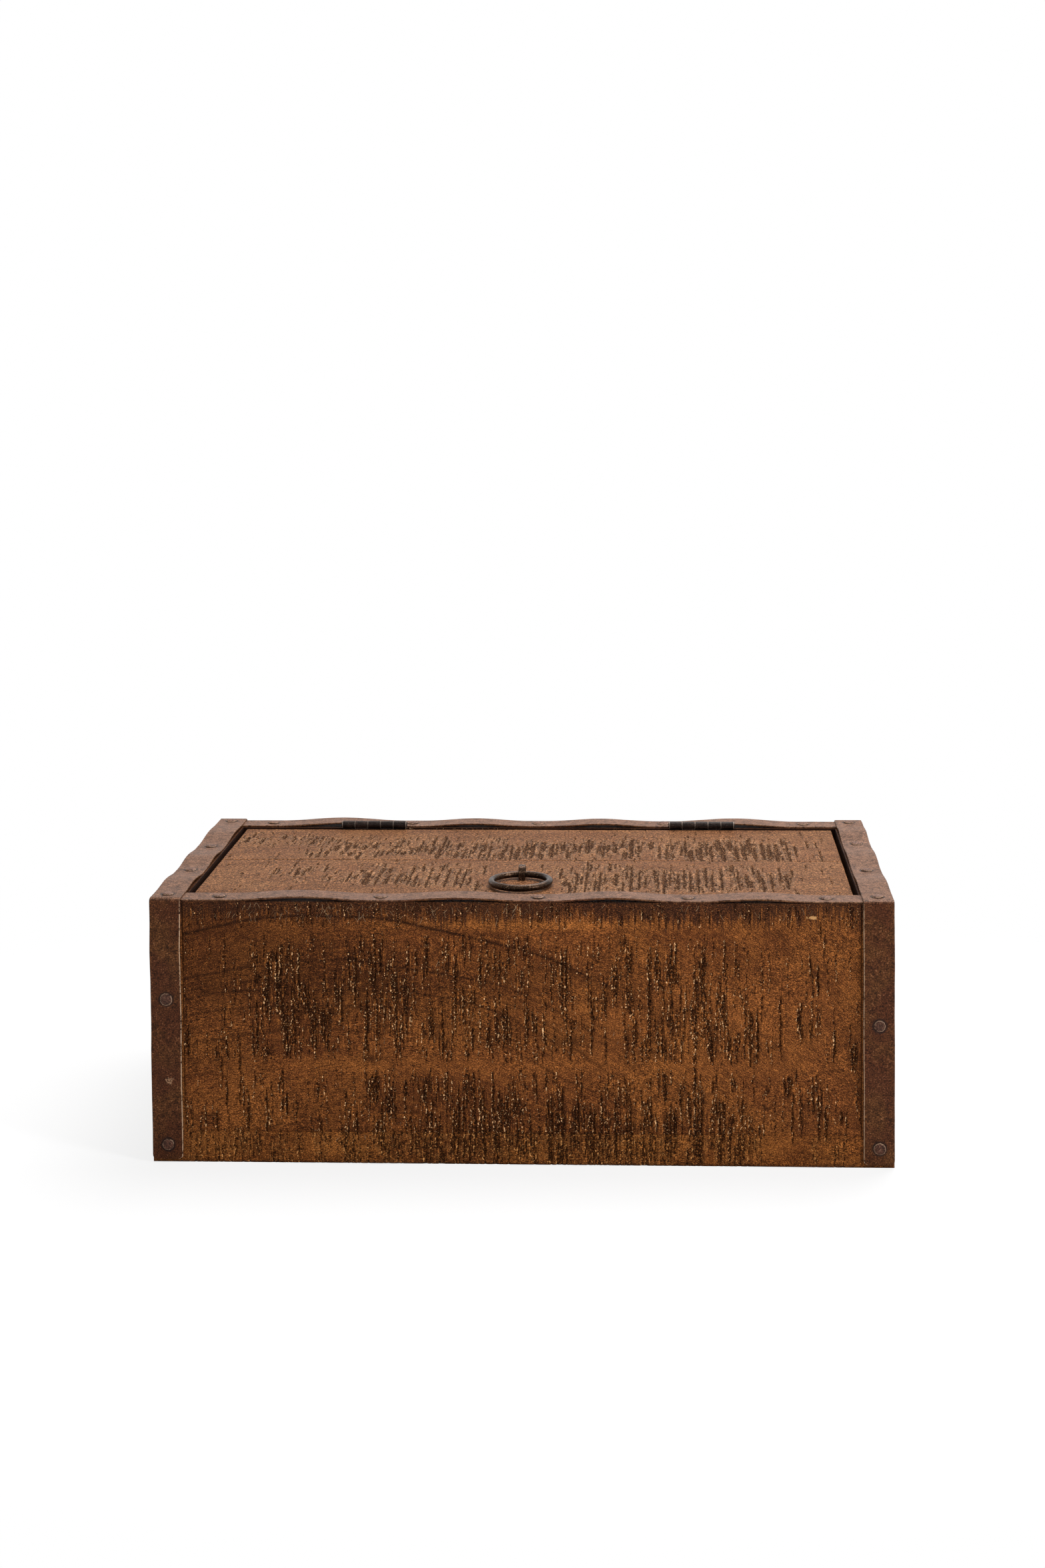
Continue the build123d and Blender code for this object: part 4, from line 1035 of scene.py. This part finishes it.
def side_path(side, x, inner_y, foot_z):
    """A side strap's inner face, up the back corner, over the rim and down the front corner."""
    crossing = half_depth - bend_radius
    lower_z, upper_z = leg_nails_z[side]
    leg = [(foot_z, lower_z + nail_landing, 0), (upper_z - nail_landing, upper_z + nail_landing, 0)]
    leg += [(rim_z - nail_landing, rim_z, 0)]
    top = [(-crossing, -inner_y, strap_thickness)]
    top += [(y - nail_landing, y + nail_landing, 0) for y in side_nails_y[side]]
    top += [(inner_y, crossing, strap_thickness)]
    rising = np.linspace(foot_z, rim_z, leg_steps)
    turn = np.radians(np.linspace(0, 90, bend_steps))[1:-1]
    over = np.linspace(crossing, -crossing, top_steps)
    points = [(x, half_depth + arch(z, leg, leg_humps), z) for z in rising]
    points += [(x, crossing + bend_radius * math.cos(a), rim_z + bend_radius * math.sin(a)) for a in turn]
    points += [(x, y, rim_z + arch(y, top, side_humps[side])) for y in over]
    points += [(x, -crossing - bend_radius * math.sin(a), rim_z + bend_radius * math.cos(a)) for a in turn]
    points += [(x, -half_depth - arch(z, leg, leg_humps), z) for z in rising[::-1]]
    return points


for side, sign in SIDES.items():
    low, high = node_box(f"{side}_side_strap")
    inner_y = -node_box("front_rim_strap")[1].y
    points = side_path(side, (low.x + high.x) / 2, inner_y, low.z)
    strap(
        f"{side}_side_iron", points, high.x - low.x, across=(1, 0, 0), wander=0.9, dent=0.3,
        seed=11 + sign, nodes=[f"{side}_side_strap"], bright=-sign, rounding=foot_rounding,
    )


# ---------------------------------------------------------------- nails
# The rings of a nail from its tip to its crown: (radius, height, number of points, painted rim highlight).
nail_profile = (
    (0.3, -14.0, 6, 0.0), (1.0, -12.0, 6, 0.0), (1.1, 0.0, 6, 0.0), (3.6, 0.0, 11, 0.0),
    (3.8, 0.35, 11, 0.5), (3.1, 0.85, 11, 0.0), (1.9, 1.08, 11, 0.0),
)
crown_height = 1.14
nail_tilt, full_turn = 0.07, 6.28  # in radians
nail_knock = (0.0009, 0.0009, 0.0004)  # the dents in the heads, in metres


def nail_blank():
    """A hand-forged nail: a low, slightly faceted head on a tapering shank, standing along +Z."""
    points, faces, starts, edge = [], [], [], []
    for radius, z, count, rim_highlight in nail_profile:
        starts.append((len(points), count))
        edge += [rim_highlight] * count
        for k in range(count):
            angle = 2 * math.pi * k / count
            points.append((radius * math.cos(angle), radius * math.sin(angle), z))
    for (a, na), (b, nb) in zip(starts, starts[1:]):
        if na == nb:
            faces += [(a + k, a + (k + 1) % na, b + (k + 1) % nb, b + k) for k in range(na)]
        else:
            faces.append(tuple(range(a, a + na)))
            faces.append(tuple(range(b, b + nb))[::-1])
    (tip, tip_count), (crown, crown_count) = starts[0], starts[-1]
    faces.append(tuple(range(tip, tip + tip_count))[::-1])
    points.append((0.0, 0.0, crown_height))
    edge.append(0.0)
    faces += [(crown + k, crown + (k + 1) % crown_count, len(points) - 1) for k in range(crown_count)]
    return new_mesh("forged_nail", np.array(points) * MM, faces, False, {"edge": edge})


def nails_tree():
    """Sets a nail at each point, along the point's own direction, turned and dented in its own way."""
    tree = Tree("driven_nails", {"Nail": "Object", "Seed": "Int", "Finish": "Material"})
    given = tree.inputs
    nail = tree.node("GeometryNodeObjectInfo", values={"Object": given["Nail"]}, output="Geometry")
    out = tree.node("GeometryNodeInputNamedAttribute", {"data_type": "FLOAT_VECTOR"}, {"Name": "out"})
    upright = tree.node("FunctionNodeAlignRotationToVector", {"axis": "Z"}, {"Vector": out})
    turn = tree.random_turn((-nail_tilt, -nail_tilt, 0), (nail_tilt, nail_tilt, full_turn), given["Seed"])
    turned = tree.node("FunctionNodeRotateRotation", {"rotation_space": "LOCAL"}, {0: upright, 1: turn})
    whole = tree.set_out(given["Geometry"], nail, turned, tree.random_size(0.94, 1.05, given["Seed"]))
    offset = tree.swirl(420.0, nail_knock)
    worn = tree.node("GeometryNodeSetPosition", values={0: whole, "Offset": offset})
    tree.end(worn, given["Finish"])
    return tree


drive_nails = nails_tree()
nail_pattern = add_object("nail_pattern", nail_blank())


def nails(name, places, seed, nodes):
    """Nails at places, each a point and the direction that it looks."""
    mesh = new_mesh(name, [Vector(point) * MM for point, _ in places], [])
    layer = mesh.attributes.new("out", "FLOAT_VECTOR", "POINT")
    layer.data.foreach_set("vector", np.array([out for _, out in places], np.float32).ravel())
    grown = drive_nails.grow(name, mesh, Nail=nail_pattern, Seed=seed, Finish=nail_iron)
    piece(name, grown, "chest", nodes)


for name, places in nail_places.items():
    nails(name.replace("_nails", "_driven_nails"), places, len(name), [name])
bpy.data.objects.remove(nail_pattern)


# ---------------------------------------------------------------- loose fibres
fibre_radius = 0.07


def fibres_tree():
    """Grows a fine curled fibre at each point, hanging along -Z before it is turned."""
    inputs = {"Length": "Float", "Curl": "Float", "Radius": "Float", "Seed": "Int", "Finish": "Material"}
    tree = Tree("loose_fibres", inputs)
    given = tree.inputs
    thread = tree.node("GeometryNodeCurvePrimitiveLine", values={"Start": (0, 0, 0), "End": (0, 0, -1)})
    turn = tree.random_turn((-0.06, -0.7, 0), (0.06, 0.7, 0), given["Seed"])
    length = tree.random_size(0.3, 1.0, given["Seed"] + 1) * given["Length"]
    hung = tree.set_out(given["Geometry"], thread, turn, length)
    fine = tree.node("GeometryNodeResampleCurve", values={"Curve": hung, "Count": 9})
    along = tree.node("GeometryNodeSplineParameter")
    bend = tree.swirl(230.0, (1.0, 0.16, 1.0)).scaled(along * given["Curl"])
    curled = tree.node("GeometryNodeSetPosition", values={0: fine, "Offset": bend})
    round_values = {"Resolution": 3, "Radius": given["Radius"]}
    profile = tree.node("GeometryNodeCurvePrimitiveCircle", {"mode": "RADIUS"}, round_values)
    strand_values = {"Curve": curled, "Profile Curve": profile, "Fill Caps": True}
    strands = tree.node("GeometryNodeCurveToMesh", values=strand_values)
    tree.end(strands, given["Finish"])
    return tree


def fibre_finish():
    finish = Finish("pale_fibre")
    fade = finish.grain((6, 6, 6), 1.0)
    tone = finish.mix(fade.rise(0.35, 0.65), (0.16, 0.085, 0.040), (0.50, 0.33, 0.19))
    return finish.close(tone, fade * 0.2 + 0.5, fade, relief=0.02, specular=0.1)


grow_fibres = fibres_tree()
pale_fibre = fibre_finish()


def fibres(name, body, strips, level, length, curl, seed):
    """Fibres on strips of a face: (count, x from, x to, low, high). level turns x and height to a point."""
    rng = np.random.default_rng(seed)
    points = []
    for count, start, stop, low, high in strips:
        for _ in range(count):
            points.append(level(rng.uniform(start, stop), rng.uniform(low, high)))
    mesh = new_mesh(name, np.array(points) * MM, [])
    grown = grow_fibres.grow(
        name, mesh, Length=length * MM, Curl=curl * MM, Radius=fibre_radius * MM,
        Seed=seed, Finish=pale_fibre,
    )
    made = add_object(name, grown)
    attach(made, body)


fibres(
    "front_edge_fibres", "chest",
    strips=(
        (54, -168, -95, 154, 164.3), (44, -95, 8, 155, 164.3), (22, 8, 200, 156, 164),
        (8, -205, -168, 154, 164),
    ),
    level=lambda x, z: (x, -half_depth - 0.1, z), length=5.5, curl=5, seed=31,
)
fibres(
    "front_face_fibres", "chest",
    strips=((50, -165, 150, 70, 142), (30, -150, 150, 10, 58)),
    level=lambda x, z: (x, -half_depth + 0.15, z), length=3.5, curl=2, seed=37,
)
fibres(
    "lid_edge_fibres", "lid",
    strips=((16, -72, -28, 90.5, 91.8), (5, -94, -84, 90.5, 91.8), (5, 40, 90, 90.5, 91.8)),
    level=lambda x, y: (x, y, rim_z + 0.9), length=2.4, curl=2.2, seed=43,
)


# ---------------------------------------------------------------- ring and staple
ring_dent = 0.3


def ring_mesh():
    """A forged ring: its bar is thickest opposite the staple and was hammered round by eye."""
    low, high = node_box("ring_pull")
    middle = (low + high) / 2
    bar = (high.z - low.z) / 2
    radius = (high.x - low.x) / 2 - bar
    around, section = 120, 18
    dents = lattice_noise(np.random.default_rng(3), (around, section), (7, 5))
    points = []
    for i in range(around):
        a = 2 * math.pi * i / around
        thick = bar * (0.95 - 0.03 * math.sin(a))
        for k in range(section):
            b = 2 * math.pi * k / section
            size = thick - ring_dent * dents[i, k] * math.sin(math.pi * i / around)
            reach = radius + size * math.cos(b)
            points.append(middle + Vector((reach * math.cos(a), reach * math.sin(a), size * math.sin(b))))
    faces = [(a, d, c, b) for a, b, c, d in tube_faces(around, section, closed=True)]
    return new_mesh("forged_ring", np.array([tuple(p) for p in points]) * MM, faces)


piece("forged_ring", ring_mesh(), "ring", ["ring_pull"], pull_iron)


# ---------------------------------------------------------------- finishes of the plain CAD pieces
for node in frame["nodes"].values():
    if node.hide_render:
        continue
    name = node.name
    if name.endswith(("nails", "screws")):
        material = nail_iron
    elif "hinge" in name:
        material = hinge_iron
    elif name == "ring_staple":
        material = pull_iron
    else:
        material = inner_wood
    node.data.materials.clear()
    node.data.materials.append(material)


# ---------------------------------------------------------------- studio
def lamp(name, place, target, size, power):
    data = bpy.data.lights.new(name, "AREA")
    data.shape, data.size, data.energy = "DISK", size, power
    made = add_object(name, data)
    made.location = place
    made.rotation_euler = (Vector(target) - Vector(place)).to_track_quat("-Z", "Y").to_euler()


def floor_material():
    """Pale and matt, and plain white to the camera away from the object."""
    finish = Finish("studio_floor")
    x, y, _ = finish.xyz
    away = ((x / 620) ** 2 + ((y + 40) / 420) ** 2).rise(0.5, 1.6)
    seen = finish.node("ShaderNodeLightPath", output="Is Camera Ray")
    matt = finish.node("ShaderNodeBsdfDiffuse", values={"Color": (0.86, 0.86, 0.86, 1)})
    bright = finish.node("ShaderNodeEmission", values={"Color": (1, 1, 1, 1), "Strength": 1.0})
    shader = finish.node("ShaderNodeMixShader", values={0: seen * (away * 0.2 + 0.8), 1: matt, 2: bright})
    finish.node("ShaderNodeOutputMaterial", values={0: shader})
    return finish.material


def world():
    made = bpy.data.worlds.new("studio")
    bpy.context.scene.world = made
    made.use_nodes = True
    graph = Graph(made.node_tree)
    path = graph.node("ShaderNodeLightPath", output="Is Camera Ray")
    glossy = Field(graph, path.socket.node.outputs["Is Glossy Ray"])
    through = Field(graph, path.socket.node.outputs["Is Transmission Ray"])
    strength = path.most(glossy).most(through) * 0.6 + 0.4
    sky = graph.node("ShaderNodeBackground", values={"Color": (1, 1, 1, 1), "Strength": strength})
    graph.node("ShaderNodeOutputWorld", values={0: sky})


floor_reach, floor_level = 6.0, -0.0002
corner_signs = ((-1, -1), (1, -1), (1, 1), (-1, 1))
floor_corners = [(x * floor_reach, y * floor_reach, floor_level) for x, y in corner_signs]
floor_mesh = new_mesh("floor", floor_corners, [(0, 1, 2, 3)])
add_object("floor", floor_mesh, floor_material())
world()
lamp("overhead", (0.35, 0.55, 1.7), target=(0, 0, 0.1), size=1.2, power=36)
lamp("front_fill", (-0.5, -1.9, 1.1), target=(0, 0, 0.08), size=1.6, power=6)
lamp("side_key", (1.5, -1.0, 0.9), target=(0, 0, 0.1), size=0.4, power=24)


# ---------------------------------------------------------------- camera
camera_place = (88.1, -1486.6, 514.6)
camera_angles = (2.648, -2.578, -0.418)  # pitch down, yaw and roll, in degrees
focal_length, sensor_width = 51.768, 36
lens_shift = (-0.023, -0.2211)
clip_range = (0.05, 50)


def camera():
    """Looks at the front and top from slightly right of the middle, with the long-side sensor fit."""
    place = Vector(camera_place) * MM
    pitch, yaw, roll = (math.radians(angle) for angle in camera_angles)
    ahead = Vector((math.sin(yaw) * math.cos(pitch), math.cos(yaw) * math.cos(pitch), -math.sin(pitch)))
    right = Vector((math.cos(yaw), -math.sin(yaw), 0))
    up = right.cross(ahead)
    rolled = right * math.cos(roll) + up * math.sin(roll)
    made = add_object("camera", bpy.data.cameras.new("camera"))
    axes = Matrix((rolled, rolled.cross(ahead), -ahead)).transposed()
    made.matrix_world = Matrix.Translation(place) @ axes.to_4x4()
    made.data.sensor_fit = "AUTO"
    made.data.sensor_width = sensor_width
    made.data.lens = focal_length
    made.data.shift_x, made.data.shift_y = lens_shift
    made.data.clip_start, made.data.clip_end = clip_range
    bpy.context.scene.camera = made


camera()
bpy.context.scene.view_settings.view_transform = "Standard"
